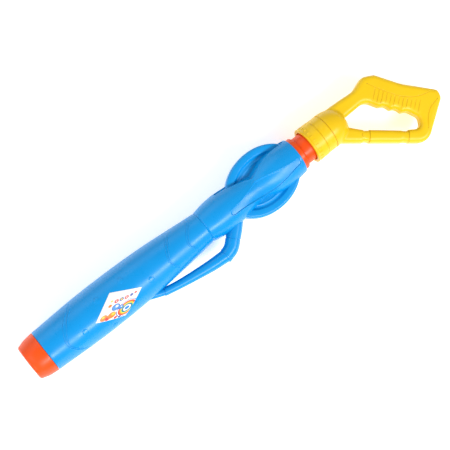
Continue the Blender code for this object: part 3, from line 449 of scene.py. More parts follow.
def make_wear_and_hollow_shade():
    """Paler rubbed edges broken up by noise, and painted shade that darkens the hollows."""
    group, tree, given, result = effect(
        "wear_and_hollow_shade",
        [("Vector", "NodeSocketVector", None), ("Colour", "NodeSocketColor", None),
         ("Worn", "NodeSocketColor", None), ("Amount", "NodeSocketFloat", 0.5)],
        [("Colour", "NodeSocketColor"), ("Worn share", "NodeSocketFloat")])
    point = tree.add("ShaderNodeNewGeometry").outputs["Pointiness"]
    broken = tree.ramp(tree.noise(given["Vector"], 260.0, 4.0), 0.42, 0.62)
    edge = tree.math("MULTIPLY", tree.ramp(point, 0.53, 0.62), broken)
    share = tree.math("MULTIPLY", edge, given["Amount"], clamp=True)
    # Painted shade: where pointiness shows a hollow, the colour is mixed towards black, up to 0.35.
    hollow = tree.ramp(point, 0.47, 0.40, 0.0, 0.35)
    lit = tree.mix(share, given["Colour"], given["Worn"])
    shaded_in_hollows = tree.mix(hollow, lit, (0.0, 0.0, 0.0, 1.0))
    tree.tree.links.new(shaded_in_hollows, result.inputs["Colour"])
    tree.tree.links.new(share, result.inputs["Worn share"])
    return group


MOULDED_TONE = make_moulded_tone()
FINE_GRAIN = make_fine_grain()
WEAR_AND_HOLLOW_SHADE = make_wear_and_hollow_shade()


def blank_material(name):
    """A material with only its shader, and the tree to fill."""
    made = bpy.data.materials.new(name)
    made.use_nodes = True
    return made, Tree(made.node_tree), made.node_tree.nodes["Principled BSDF"]


def plug(tree, shader, name, value):
    """Wire a value into the shader."""
    tree.tree.links.new(value, shader.inputs[name])


def plastic(name, colour, deep, worn, smooth, dull, grain=900.0, bump=0.05, metallic=0.0, wear=0.4):
    """A moulded or turned finish with tone, grain, smudges, edge wear and painted shade in hollows."""
    made, tree, shader = blank_material(name)
    place = tree.add("ShaderNodeTexCoord").outputs["Object"]
    tone = tree.add("ShaderNodeGroup", node_tree=MOULDED_TONE)
    # Paler worn edges, and painted shade in the hollows.
    wear_and_shade = tree.add("ShaderNodeGroup", node_tree=WEAR_AND_HOLLOW_SHADE)
    skin = tree.add("ShaderNodeGroup", node_tree=FINE_GRAIN)
    for group in (tone, wear_and_shade, skin):
        tree.tree.links.new(place, group.inputs["Vector"])
    tone.inputs["Colour"].default_value = (*colour, 1.0)
    tone.inputs["Deep"].default_value = (*deep, 1.0)
    tone.inputs["Amount"].default_value = 0.55
    tree.tree.links.new(tone.outputs["Colour"], wear_and_shade.inputs["Colour"])
    wear_and_shade.inputs["Worn"].default_value = (*worn, 1.0)
    wear_and_shade.inputs["Amount"].default_value = wear
    skin.inputs["Scale"].default_value = grain
    skin.inputs["Smooth"].default_value = smooth
    skin.inputs["Dull"].default_value = dull
    plug(tree, shader, "Base Color", wear_and_shade.outputs["Colour"])
    rough = tree.math("ADD", skin.outputs["Roughness"],
                      tree.math("MULTIPLY", wear_and_shade.outputs["Worn share"], 0.25), clamp=True)
    plug(tree, shader, "Roughness", rough)
    relief = tree.add("ShaderNodeBump", {"Strength": bump, "Distance": 0.4 * MM,
                                         "Height": skin.outputs["Height"]})
    plug(tree, shader, "Normal", relief.outputs[0])
    shader.inputs["Metallic"].default_value = metallic
    shader.inputs["Specular IOR Level"].default_value = 0.5 if metallic else 0.36
    return made


BLUE = plastic("blue_moulded", (0.0, 0.285, 0.70), (0.0, 0.255, 0.645), (0.08, 0.40, 0.80), 0.25, 0.38)
ORANGE = plastic("orange_moulded", (0.84, 0.078, 0.0008), (0.76, 0.062, 0.0006), (0.92, 0.18, 0.03), 0.28, 0.42)
YELLOW = plastic("yellow_moulded", (0.82, 0.53, 0.004), (0.78, 0.48, 0.003), (0.92, 0.66, 0.07), 0.28, 0.40)
MILKY = plastic("milky_tube", (0.74, 0.78, 0.80), (0.68, 0.73, 0.76), (0.85, 0.88, 0.90), 0.22, 0.38)
WHITE = plastic("white_moulded", (0.80, 0.80, 0.77), (0.74, 0.74, 0.71), (0.88, 0.88, 0.86), 0.42, 0.58)
RUBBER = plastic("black_rubber", (0.022, 0.022, 0.024), (0.034, 0.033, 0.034), (0.09, 0.09, 0.09),
                 0.62, 0.82, grain=1400.0, bump=0.12)
STEEL = plastic("zinc_steel", (0.58, 0.58, 0.60), (0.46, 0.46, 0.49), (0.80, 0.80, 0.80), 0.22, 0.42,
                grain=2200.0, bump=0.08, metallic=1.0, wear=0.7)
BRASS = plastic("plated_brass", (0.72, 0.58, 0.34), (0.60, 0.46, 0.24), (0.86, 0.76, 0.50), 0.20, 0.36,
                grain=2000.0, bump=0.06, metallic=1.0, wear=0.7)


def label_print():
    """A generic print on white paper: coloured arcs round a centre, and patches and rings."""
    made, tree, shader = blank_material("label_print")
    place = tree.add("ShaderNodeTexCoord")
    spot = tree.add("ShaderNodeSeparateXYZ", {"Vector": place.outputs["UV"]})
    across, up = spot.outputs["X"], spot.outputs["Y"]

    def distance(centre_x, centre_y):
        """How far each point is from a centre on the label."""
        side = tree.math("POWER", tree.math("SUBTRACT", across, centre_x), 2.0)
        rise = tree.math("POWER", tree.math("SUBTRACT", up, centre_y), 2.0)
        return tree.math("SQRT", tree.math("ADD", side, rise))

    white, navy, sky = (0.80, 0.80, 0.78, 1.0), (0.03, 0.07, 0.34, 1.0), (0.02, 0.23, 0.62, 1.0)
    red, warm = (0.70, 0.03, 0.03, 1.0), (0.84, 0.20, 0.02, 1.0)
    gold, green = (0.85, 0.58, 0.04, 1.0), (0.04, 0.42, 0.22, 1.0)
    arcs = distance(0.84, 0.34)
    bands = tree.add("ShaderNodeValToRGB", {"Fac": tree.ramp(arcs, 0.0, 0.34)})
    bands.color_ramp.interpolation = "CONSTANT"
    stripes = (
        (0.0, sky), (0.20, white), (0.34, navy), (0.42, green), (0.50, gold), (0.60, warm), (0.70, red),
        (0.80, white), (0.88, navy), (0.94, white),
    )
    for number, (position, colour) in enumerate(stripes):
        spots = bands.color_ramp.elements
        stop = spots[number] if number < len(spots) else spots.new(position)
        stop.position = position
        stop.color = colour
    print_colour = bands.outputs["Color"]
    patches = (
        (warm, 0.20, 0.12, 0.12), (gold, 0.17, 0.15, 0.05), (red, 0.33, 0.08, 0.08),
        (warm, 0.42, 0.18, 0.13), (gold, 0.45, 0.22, 0.06), (white, 0.27, 0.25, 0.05),
        (navy, 0.43, 0.45, 0.13), (sky, 0.43, 0.45, 0.11), (white, 0.45, 0.48, 0.05),
        (navy, 0.60, 0.42, 0.09), (sky, 0.60, 0.42, 0.07), (white, 0.61, 0.44, 0.03),
        (red, 0.36, 0.66, 0.07), (white, 0.36, 0.66, 0.03), (navy, 0.50, 0.70, 0.07),
        (gold, 0.50, 0.70, 0.04), (red, 0.64, 0.74, 0.07), (white, 0.64, 0.74, 0.03),
        (navy, 0.77, 0.80, 0.06), (red, 0.87, 0.86, 0.05), (warm, 0.22, 0.52, 0.06),
        (gold, 0.21, 0.68, 0.04), (red, 0.60, 0.06, 0.06), (navy, 0.74, 0.05, 0.05),
    )
    for colour, centre_x, centre_y, radius in patches:
        inside = tree.ramp(distance(centre_x, centre_y), radius, radius - 0.015)
        print_colour = tree.mix(inside, print_colour, colour)
    skin = tree.add("ShaderNodeGroup", node_tree=FINE_GRAIN)
    tree.tree.links.new(place.outputs["Object"], skin.inputs["Vector"])
    skin.inputs["Scale"].default_value = 700.0
    skin.inputs["Smooth"].default_value = 0.34
    skin.inputs["Dull"].default_value = 0.50
    plug(tree, shader, "Base Color", print_colour)
    plug(tree, shader, "Roughness", skin.outputs["Roughness"])
    relief = tree.add("ShaderNodeBump", {"Strength": 0.05, "Distance": 0.2 * MM,
                                         "Height": skin.outputs["Height"]})
    plug(tree, shader, "Normal", relief.outputs[0])
    return made


LABEL = label_print()


# ---------------------------------------------------------------- body shell
BARREL = CREASE - JOINT
UPPER = WAIST - CREASE
LOWER = RIM - WAIST
BARREL_LINE = smooth_line([(JOINT, JOINT_RADIUS), (JOINT + 0.31 * BARREL, WAIST_RADIUS + 10.35 * MM),
                           (JOINT + 0.65 * BARREL, WAIST_RADIUS + 8.7 * MM),
                           (CREASE, WAIST_RADIUS + 2.2 * MM)], 24)
UPPER_LINE = smooth_line([(CREASE, WAIST_RADIUS + 2.2 * MM), (CREASE + 0.22 * UPPER, WAIST_RADIUS + 4.9 * MM),
                          (CREASE + 0.42 * UPPER, WAIST_RADIUS + 5.3 * MM),
                          (WAIST - 0.2 * UPPER, WAIST_RADIUS + 2.1 * MM), (WAIST, WAIST_RADIUS)], 16)
LOWER_LINE = smooth_line([(WAIST, WAIST_RADIUS), (WAIST + 0.29 * LOWER, WAIST_RADIUS + 5.6 * MM),
                          (WAIST + 0.54 * LOWER, WAIST_RADIUS + 7.4 * MM), (RIM, WAIST_RADIUS + 4.9 * MM)], 16)
BODY_LINE = BARREL_LINE + UPPER_LINE[1:] + LOWER_LINE[1:]

FLOOR_SHARES = (0.0, 0.12, 0.24, 0.36, 0.47, 0.58, 0.68, 0.77, 0.85, 0.91, 0.95, 0.975, 1.0)
PETAL_SHARES = (0.02, 0.05, 0.09, 0.15, 0.23, 0.32, 0.42, 0.53, 0.65, 0.77, 0.89, 1.0)


def skin_radius(station):
    """The body's radius, with the crease pressed in."""
    pressed = 0.7 * MM * math.exp(-((station - CREASE) / (0.7 * MM)) ** 2)
    return at(BODY_LINE, station) - pressed


def flute_half_angle(station):
    """Half the width of a flute, and outside the flutes an even share of the columns."""
    even = math.radians(22.5)
    if station < WAIST:
        along = (station - FLUTE_START) / (WAIST - FLUTE_START)
        growth = max(along, 0.0) ** 2.2
        outside = ease((FLUTE_START - station) / (14.0 * MM))
        tip = (station - FLUTE_START) / (5.0 * MM)
    else:
        along = (FLUTE_END - station) / (FLUTE_END - WAIST)
        growth = max(along, 0.0) ** 1.8
        outside = 0.0
        tip = (FLUTE_END - station) / (4.0 * MM)
    half = FLUTE_TIP_HALF + (FLUTE_WAIST_HALF - FLUTE_TIP_HALF) * growth
    if 0.0 < tip < 1.0:
        half *= max(math.sqrt(1.0 - (1.0 - tip) ** 2), 0.25)
    elif tip <= 0.0:
        half *= 0.25
    return half + (even - half) * outside


def flute_depth(station):
    """How far a flute's floor lies under the petals."""
    near = min(station - FLUTE_START, FLUTE_END - station)
    share = ease(1.0 - abs(station - WAIST) / (40.0 * MM))
    return (FLUTE_TIP_DEPTH + (FLUTE_DEPTH - FLUTE_TIP_DEPTH) * share) * ease(near / (1.6 * MM))


def press_flutes(item):
    """Turn the even columns of the spun body into petals and flutes."""
    columns = BODY_STEPS // FLUTE_COUNT
    half_columns = columns // 2
    for vertex in item.data.vertices:
        x, y, z = vertex.co
        radius = math.hypot(y, z)
        if x < JOINT - MM or radius < WAIST_RADIUS - 3.0 * MM:
            continue
        column = round(math.atan2(y, z) / (2.0 * math.pi) * BODY_STEPS) % BODY_STEPS
        sector, place = divmod(column, columns)
        side = 1.0
        if place > half_columns:
            place, sector, side = columns - place, sector + 1, -1.0
        half = flute_half_angle(x)
        depth = flute_depth(x)
        if place <= 12:
            share = FLOOR_SHARES[place]
            angle = half * share
            wall = min(max((share - 0.94) / 0.06, 0.0), 1.0)
            radius -= depth * (1.0 - 0.3 * share**2) * (1.0 - wall)
            if place == 12:
                radius += 0.1 * MM * min(depth / FLUTE_TIP_DEPTH, 1.0)
        else:
            angle = half + (math.radians(45.0) - half) * PETAL_SHARES[place - 13]
            roll = math.exp(-(((angle - half) * radius - 0.6 * MM) / (1.1 * MM)) ** 2)
            radius += 0.28 * MM * roll * min(depth / FLUTE_TIP_DEPTH, 1.0)
        turn = FLUTE_TURN + sector * 2.0 * math.pi / FLUTE_COUNT + side * angle
        vertex.co = (x, radius * math.sin(turn), radius * math.cos(turn))


def surface_point(station, across, side, lift):
    """A point over the body at a station and distance from the axis, on the front or back."""
    radius = skin_radius(station) + lift
    return Vector((station, across, side * math.sqrt(max(radius**2 - across**2, (2.0 * MM) ** 2))))


def raised_lines():
    """Pairs of thin raised lines that curve round the barrel's front and back."""
    lines = (
        (((75.8, 25.2), (65.5, 18.4), (57.8, 12.2), (50.7, 4.2), (46.3, -3.0), (44.0, -11.0),
          (47.2, -17.2), (54.3, -22.6), (63.1, -26.2)), 1.75, 0.35),
        (((202.1, 19.1), (193.6, 11.9), (187.4, 3.7), (183.7, -3.6), (182.9, -9.1), (185.6, -14.5),
          (189.2, -19.1)), 1.3, 0.3),
        (((228.7, 17.5), (219.5, 8.3), (213.1, 0.0), (210.8, -5.4), (214.0, -11.8), (216.7, -17.2)), 1.3, 0.3),
    )
    tools = []
    for knots, apart, close in lines:
        middle = smooth_line([(x * MM, y * MM) for x, y in knots], 6)
        for offset in (1.0, -1.0):
            for side in (1.0, -1.0):
                route = []
                for index, here in enumerate(middle):
                    ahead = middle[min(index + 1, len(middle) - 1)] - middle[max(index - 1, 0)]
                    across = Vector((-ahead.y, ahead.x)).normalized()
                    share = index / (len(middle) - 1)
                    gap = offset * (apart + (close - apart) * ease((share - 0.35) / 0.6)) * MM
                    spot = here + across * gap
                    fade = min(1.0, 0.35 + 4.0 * min(share, 1.0 - share))
                    lifted = surface_point(spot.x, spot.y, side, -0.2 * MM)
                    route.append((*lifted, 0.7 * MM * fade))
                tools.append(swept("raised_line", route, 12))
    return tools


def bubbles():
    """Low round bubbles on the barrel's front and back."""
    places = ((95.9, 8.4), (66.6, -10.6), (96.8, -24.4), (128.5, 9.8), (125.8, -19.9), (155.4, -10.0))
    profile = offsets(0.0, 0.0, (-1.2, 0.0), (-1.2, 3.5), (-0.1, 3.5), (0.12, 3.35), (0.32, 2.8),
                      (0.47, 2.0), (0.56, 1.0), (0.6, 0.0))
    first = turned("bubble", profile, 40, along="Z")
    tools = []
    for x, y in places:
        for side in (1.0, -1.0):
            spot = surface_point(x * MM, y * MM, side, 0.0)
            normal = Vector((0.0, spot.y, spot.z)).normalized()
            tool = copy_of(first, "bubble")
            facing = normal.to_track_quat("Z", "Y").to_matrix().to_4x4()
            tool.data.transform(Matrix.Translation(spot) @ facing)
            tools.append(tool)
    bpy.data.objects.remove(first)
    return tools


def oval_disc():
    """The oval disc across the waist, with a rim band and a recess on each face."""
    half_long, half_wide, half = DISC_LENGTH / 2.0, DISC_WIDTH / 2.0, DISC_THICKNESS / 2.0
    rounding = 3.2 * MM
    floor = half - 2.6 * MM
    face = [(floor, half_long)]
    face += offsets(floor, 0.0, (0.0, 15.6), (0.12, 15.2), (0.5, 14.7), (0.62, 14.2), (0.5, 13.7),
                    (0.12, 13.2), (0.0, 12.8), (0.0, 11.3), (0.1, 11.0), (0.4, 10.6))
    face += offsets(half, 0.0, (-0.4, 8.6), (-0.1, 8.25), (0.0, 7.9))
    for step in range(7):
        angle = math.radians(15.0 * step)
        face.append((half - rounding * (1.0 - math.cos(angle)), rounding * (1.0 - math.sin(angle))))
    levels = face + [(-height, depth) for height, depth in reversed(face)]
    profile = [(-height, half_long - depth) for height, depth in levels]
    item = turned("disc", profile, BODY_STEPS, along="Z")
    for vertex in item.data.vertices:
        reach = math.hypot(vertex.co.x, vertex.co.y)
        if reach > MM:
            vertex.co.y *= (reach - half_long + half_wide) / reach
    item.data.transform(Matrix.Rotation(DISC_TILT, 4, "Z"))
    return shifted(item, (DISC_STATION, 0.0, 0.0))


def bent_pipe():
    """The pipe moulded on the barrel's side, stepped where it widens and at its elbow."""
    def to_axis(knots, steps):
        return [(p.x * MM, p.y * MM, 0.0, p.z * MM) for p in smooth_line(knots, steps)]

    thin = to_axis([(138.3, -20.4, 3.9), (150.0, -25.0, 4.0), (160.9, -29.2, 4.0)], 6)
    run = to_axis([(161.0, -29.3, 4.7), (182.3, -33.3, 5.2), (217.6, -38.1, 6.7), (237.4, -39.5, 7.5)], 12)
    bead = to_axis([(237.5, -39.5, 8.3), (238.2, -39.5, 8.5), (239.2, -39.5, 8.5)], 3)
    first_turn = to_axis([(239.4, -39.5, 8.2), (248.0, -36.6, 8.4), (255.6, -30.4, 8.5)], 8)
    joint = to_axis([(255.8, -30.2, 8.1), (256.6, -29.5, 8.1)], 2)
    last_turn = to_axis([(256.8, -29.3, 8.5), (263.5, -23.3, 8.6), (270.7, -16.0, 8.6)], 8)
    return swept("pipe", thin + run + bead + first_turn + joint + last_turn, 48)


def screw_wells(places, seat, ceiling):
    """Cutters for the screws: a well for the head and a hole for the shank."""
    tools = []
    for x, y in places:
        profile = [(-60.0 * MM, 0.0), (-60.0 * MM, WELL_RADIUS), (seat + SEAM, WELL_RADIUS),
                   (seat + SEAM, SHANK_RADIUS), (ceiling, SHANK_RADIUS), (ceiling, 0.0)]
        tools.append(shifted(turned("well", profile, SMALL_STEPS, along="Z"), (x, y, 0.0)))
    return tools


def screw_places(prefix, count):
    """Where the frame's screws stand, in the axis's coordinates."""
    places = []
    for number in range(1, count + 1):
        low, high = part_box(f"{prefix}_screw_{number}")
        places.append(((low.x + high.x) / 2.0 - AXIS.x, (low.y + high.y) / 2.0 - AXIS.y))
    return places


def halves(whole, names):
    """Split a casing along its parting plane, each half closed by a flat face."""
    pieces = []
    for name, side in zip(names, (1.0, -1.0)):
        half = copy_of(whole, name)
        edit(half,
             lambda: bpy.ops.mesh.bisect(plane_co=(0.0, 0.0, side * PARTING / 2.0),
                                         plane_no=(0.0, 0.0, side), use_fill=True,
                                         clear_inner=True, threshold=1e-7),
             lambda: bpy.ops.mesh.select_all(action="SELECT"),
             lambda: bpy.ops.mesh.remove_doubles(threshold=1e-6),
             lambda: bpy.ops.mesh.normals_make_consistent(inside=False))
        pieces.append(half)
    bpy.data.objects.remove(whole)
    return pieces


def make_body():
    """The fluted body in two halves, with its disc, pipe, raised lines and bubbles."""
    lip = 0.5 * MM
    spans = (
        (JOINT + lip, CREASE - 4.0 * MM, 2.4 * MM), (CREASE - 4.0 * MM, CREASE + 4.0 * MM, 0.4 * MM),
        (CREASE + 4.0 * MM, FLUTE_START - 1.0 * MM, 1.8 * MM),
        (FLUTE_START - 1.0 * MM, FLUTE_START + 6.0 * MM, 0.5 * MM),
        (FLUTE_START + 6.0 * MM, WAIST - 3.0 * MM, 1.2 * MM), (WAIST - 3.0 * MM, WAIST + 3.0 * MM, 0.4 * MM),
        (WAIST + 3.0 * MM, FLUTE_END - 6.0 * MM, 1.2 * MM), (FLUTE_END - 6.0 * MM, RIM - 0.5 * MM, 0.5 * MM),
    )
    stations = [station for first, last, pitch in spans for station in spread(first, last, pitch)]
    joint_radius = skin_radius(JOINT)
    rim_radius = skin_radius(RIM)
    profile = [(SPIGOT, 0.0)] + offsets(SPIGOT, SPIGOT_RADIUS, (0.0, -0.8), (0.3, -0.25), (0.8, 0.0))
    profile += [(JOINT, SPIGOT_RADIUS), (JOINT, joint_radius - lip)]
    profile += offsets(JOINT, joint_radius, (0.15, -0.15))
    profile += [(station, skin_radius(station)) for station in stations]
    profile += offsets(RIM, rim_radius, (-0.5, 0.0), (-0.15, -0.15), (0.0, -0.5)) + [(RIM, 0.0)]
    body = turned("body", profile, BODY_STEPS)
    press_flutes(body)
    combine(body, [oval_disc(), bent_pipe()] + raised_lines() + bubbles(), "UNION")

    rib = 3.0 * MM
    flange_low, flange_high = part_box("valve_housing")
    slot = flange_low.x - AXIS.x - SEAM
    slot_end = slot + 4.6 * MM
    slot_radius = (flange_high.z - flange_low.z) / 2.0 + 2.0 * SEAM
    rib_bore = 13.0 * MM
    gland_socket = GLAND_START - SEAM
    gland_radius = 19.6 * MM
    wall = [(x, at(BODY_LINE, x) - SHELL_WALL)
            for x in spread(slot_end + rib, FLUTE_START - 8.0 * MM, 6.0 * MM)]
    narrow = [(x, max(at(BODY_LINE, x) - SHELL_WALL - FLUTE_DEPTH - 0.3 * MM, TUBE_HOLE))
              for x in spread(FLUTE_START - 8.0 * MM, gland_socket - rib, 3.0 * MM)]
    spigot_bore = SPIGOT_RADIUS - SHELL_WALL
    cavity = [(SPIGOT - MM, 0.0), (SPIGOT - MM, spigot_bore), (slot - rib, spigot_bore),
              (slot - rib, rib_bore), (slot, rib_bore), (slot, slot_radius), (slot_end, slot_radius),
              (slot_end, rib_bore), (slot_end + rib, rib_bore)] + wall + narrow
    cavity += [(gland_socket - rib, TUBE_HOLE), (gland_socket, TUBE_HOLE), (gland_socket, gland_radius),
               (RIM + MM, gland_radius), (RIM + MM, 0.0)]
    places = screw_places("body", 7)
    screw_low, screw_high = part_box("body_screw_1")
    seat = screw_low.z - AXIS.z + HEAD_HEIGHT
    ceiling = screw_high.z - AXIS.z + SEAM
    hollow = turned("cavity", cavity, ROUND_STEPS)
    bosses = []
    for x, y in places:
        boss = rod_between("boss", BOSS_RADIUS, -40.0 * MM, 40.0 * MM, SMALL_STEPS, along="Z")
        bosses.append(shifted(boss, (x, y, 0.0)))
    combine(hollow, bosses, "DIFFERENCE")
    combine(hollow, [rod_between("tube_room", TUBE_HOLE, slot_end, RIM + 0.5 * MM, ROUND_STEPS)], "UNION")
    combine(body, [hollow] + screw_wells(places, seat, ceiling), "DIFFERENCE")
    front, back = halves(body, ("body_front", "body_back"))
    done(front, "barrel", BLUE, "blue_plastic", "body_front_shell")
    done(back, "barrel", BLUE, "blue_plastic", "body_back_shell")


def make_cap():
    """The push-on end cap, a cup with a soft outer edge."""
    end = JOINT_RADIUS - 3.3 * MM
    rounding = 3.0 * MM
    edge = JOINT - SEAM
    inside = SPIGOT_RADIUS + 0.15 * MM
    profile = offsets(0.0, 0.0, (0.35, 0.0), (0.35, 12.0), (0.2, 12.6), (0.0, 13.0))
    for step in range(9):
        angle = math.radians(11.25 * step)
        profile.append((rounding * (1.0 - math.cos(angle)), end - rounding * (1.0 - math.sin(angle))))
    side = smooth_line([(rounding, end), (9.8 * MM, end + 2.0 * MM), (edge - 0.6 * MM, JOINT_RADIUS)], 10)
    profile += [(point.x, point.y) for point in side[1:]]
    profile += offsets(edge, JOINT_RADIUS, (-0.2, -0.12), (0.0, -0.5))
    profile += offsets(edge, inside, (0.0, 0.3), (-0.3, 0.0)) + [(SPIGOT - MM, inside)]
    profile += offsets(0.0, inside, (3.0, -2.0), (2.4, -2.4), (2.0, -3.2)) + [(2.0 * MM, 0.0)]
    cap = turned("cap", profile, BODY_STEPS)
    done(cap, "cap", ORANGE, "orange_plastic", "end_cap")


def make_label():
    """The diamond label, wrapped on the barrel."""
    cells = 48
    bpy.ops.object.select_all(action="DESELECT")
    bpy.ops.mesh.primitive_grid_add(x_subdivisions=cells, y_subdivisions=cells, size=1.0, calc_uvs=True,
                                    location=(0.0, 0.0, 0.0))
    item = bpy.context.active_object
    item.name = "label"
    centre = (label_low.x + label_high.x) / 2.0 - AXIS.x
    half_long, half_high = 31.0 * MM, 16.5 * MM
    for vertex in item.data.vertices:
        a, b = vertex.co.x + 0.5, vertex.co.y + 0.5
        flat_x = half_long * (a + b - 1.0)
        flat_y = half_high * (b - a)
        station = centre + flat_x
        radius = skin_radius(station) + 0.08 * MM
        angle = FLUTE_TURN + flat_y / radius
        vertex.co = (station, radius * math.sin(angle), radius * math.cos(angle))
    with_modifier(item, "SOLIDIFY", thickness=0.22 * MM, offset=1.0)
    edit(item, lambda: bpy.ops.mesh.normals_make_consistent(inside=False))
    done(item, "barrel", LABEL, "label_paper", "diamond_label")


# ---------------------------------------------------------------- neck, ring and small turned pieces
def make_neck():
    """The neck gland: flange, groove and sleeve round the rod's bush."""
    flange = RIM + SEAM
    flange_radius = NECK_RADIUS + 2.9 * MM
    bush_low, bush_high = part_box("rod_bush")
    tube_low, tube_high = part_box("cylinder_tube")
    bush_radius = (bush_high.z - bush_low.z) / 2.0 + 1.5 * SEAM
    bush_seat = bush_low.x - AXIS.x - SEAM
    stop = tube_high.x - AXIS.x + SEAM
    air = ROD_RADIUS + 1.5 * MM
    seat_radius = 19.3 * MM
    profile = [(GLAND_START, TUBE_HOLE)] + offsets(GLAND_START, seat_radius, (0.0, -0.4), (0.4, 0.0))
    profile += [(flange, seat_radius)]
    profile += offsets(flange, flange_radius, (0.0, -0.3), (0.3, 0.0), (4.4, 0.0), (5.2, -0.3), (5.8, -0.9),
                       (6.0, -1.6))
    profile += offsets(flange, NECK_RADIUS, (6.0, -0.2), (6.5, -0.25), (7.0, 0.0))
    profile += offsets(NECK_END, NECK_RADIUS, (-1.0, 0.0), (-0.5, -0.2), (-0.15, -0.6), (0.0, -1.2))
    profile += offsets(NECK_END, bush_radius, (0.0, 0.6), (-0.6, 0.0))
    profile += [(bush_seat, bush_radius), (bush_seat, air), (stop, air), (stop, TUBE_HOLE)]
    done(turned("neck", profile, BODY_STEPS), "barrel", ORANGE, "orange_plastic", "neck_gland")


def make_ring():
    """The ring round the collar: a rolled lip and a row of short raised ticks."""
    spigot = RING_RADIUS - 2.3 * MM
    inner = spigot - 1.2 * MM
    step = RING_START + 2.7 * MM
    profile = [(RING_START, inner + 0.3 * MM)]
    profile += offsets(RING_START, RING_RADIUS, (0.0, -0.6), (0.15, -0.1), (0.5, 0.2), (1.0, 0.3), (1.7, 0.2),
                       (2.2, -0.1), (2.6, -0.35), (7.6, -0.35), (8.2, 0.0))
    profile += offsets(RING_END, RING_RADIUS, (-0.4, 0.0), (0.0, -0.35)) + [(RING_END, spigot + SEAM)]
    profile += [(step, spigot + SEAM), (step, inner), (RING_START + 0.3 * MM, inner)]
    ring = turned("ring", profile, BODY_STEPS)
    bpy.ops.object.select_all(action="DESELECT")
    bpy.ops.mesh.primitive_cube_add(size=1.0, location=(RING_START + 5.4 * MM, 0.0, RING_RADIUS - 0.6 * MM))
    tick = bpy.context.active_object
    tick.scale = (3.6 * MM, 1.3 * MM, 1.5 * MM)
    apply_place(tick)
    with_modifier(tick, "BEVEL", width=0.3 * MM, segments=3, limit_method="ANGLE")
    ticks = []
    for number in range(TICK_COUNT):
        twin = copy_of(tick, "tick")
        twin.data.transform(Matrix.Rotation(2.0 * math.pi * number / TICK_COUNT, 4, "X"))
        ticks.append(twin)
    bpy.data.objects.remove(tick)
    combine(ring, ticks, "UNION")
    done(ring, "plunger", YELLOW, "yellow_plastic", "handle_ring")


# ---------------------------------------------------------------- handle
HANDLE_RIM = (
    (-2.0, -17.0, 0.0), (6.0, -21.8, 6.0), (85.4, -82.0, 17.0), (131.0, -50.6, 8.0), (133.2, -40.6, 6.0),
    (102.8, -9.6, 60.0), (84.0, 17.4, 5.5), (70.5, 23.9, 11.0), (52.0, 17.4, 18.0), (31.0, 18.9, 40.0),
    (-2.0, 20.0, 0.0),
)
GRIP_LOW = Vector((90.6, -45.6))
GRIP_HIGH = Vector((57.0, -4.6))
STRUT_ANGLE = math.radians(-37.7)
STRUT_NECKS = ((31.8, -31.6), (67.6, -59.3))
STRUT_HALF_DEEP = 8.5
STRUT_HALF_WIDE = 6.5
RIB_START = 3.2
RIB_ENDS = (21.0, 22.0, 21.0, 19.5, 18.5, 17.8, 17.4, 17.4, 17.8, 18.2, 19.0, 19.6)


def finger_opening():
    """The opening's outline, with three finger ridges along the grip."""
    corners = [(20.6, -9.6, 2.0), (33.0, -22.8, 20.0), (68.5, -50.8, 20.0), (88.4, -63.0, 7.0),
               (94.6, -52.0, 6.0)]
    run = GRIP_HIGH - GRIP_LOW
    away = Vector((run.y, -run.x)).normalized() * 2.2
    for number in range(1, 4):
        bay = GRIP_LOW + run * ((number - 0.5) / 4.0) + away
        crest = GRIP_LOW + run * (number / 4.0) - away * 0.4
        corners += [(bay.x, bay.y, 8.0), (crest.x, crest.y, 1.4)]
    return corners + [(55.6, -0.8, 12.0), (24.6, -1.8, 3.0)]


def from_dome(corners):
    """Corners given in mm from the dome, in metres along the axis."""
    return [(DOME + x * MM, y * MM, radius * MM) for x, y, radius in corners]


def strut_rings(start, end, deeper):
    """Cutters all round the strut's two necks, with a soft square inside."""
    inner, outer = 7.0 * MM, 18.0 * MM
    tools = []
    for x, y in STRUT_NECKS:
        profile = [(start, inner), (start, outer), (end, outer), (end, inner)]
        ring = turned("ring_cutter", profile, 64)
        for vertex in ring.data.vertices:
            reach = math.hypot(vertex.co.y, vertex.co.z)
            if reach < 10.0 * MM:
                over = (abs(vertex.co.z / reach) ** 3 / STRUT_HALF_DEEP**3
                        + abs(vertex.co.y / reach) ** 3 / STRUT_HALF_WIDE**3)
                size = over ** (-1.0 / 3.0) * MM - deeper
                vertex.co.y *= size / reach
                vertex.co.z *= size / reach
        ring.data.transform(Matrix.Rotation(STRUT_ANGLE, 4, "Z"))
        tools.append(shifted(ring, (DOME + x * MM, y * MM, 0.0)))
    return tools


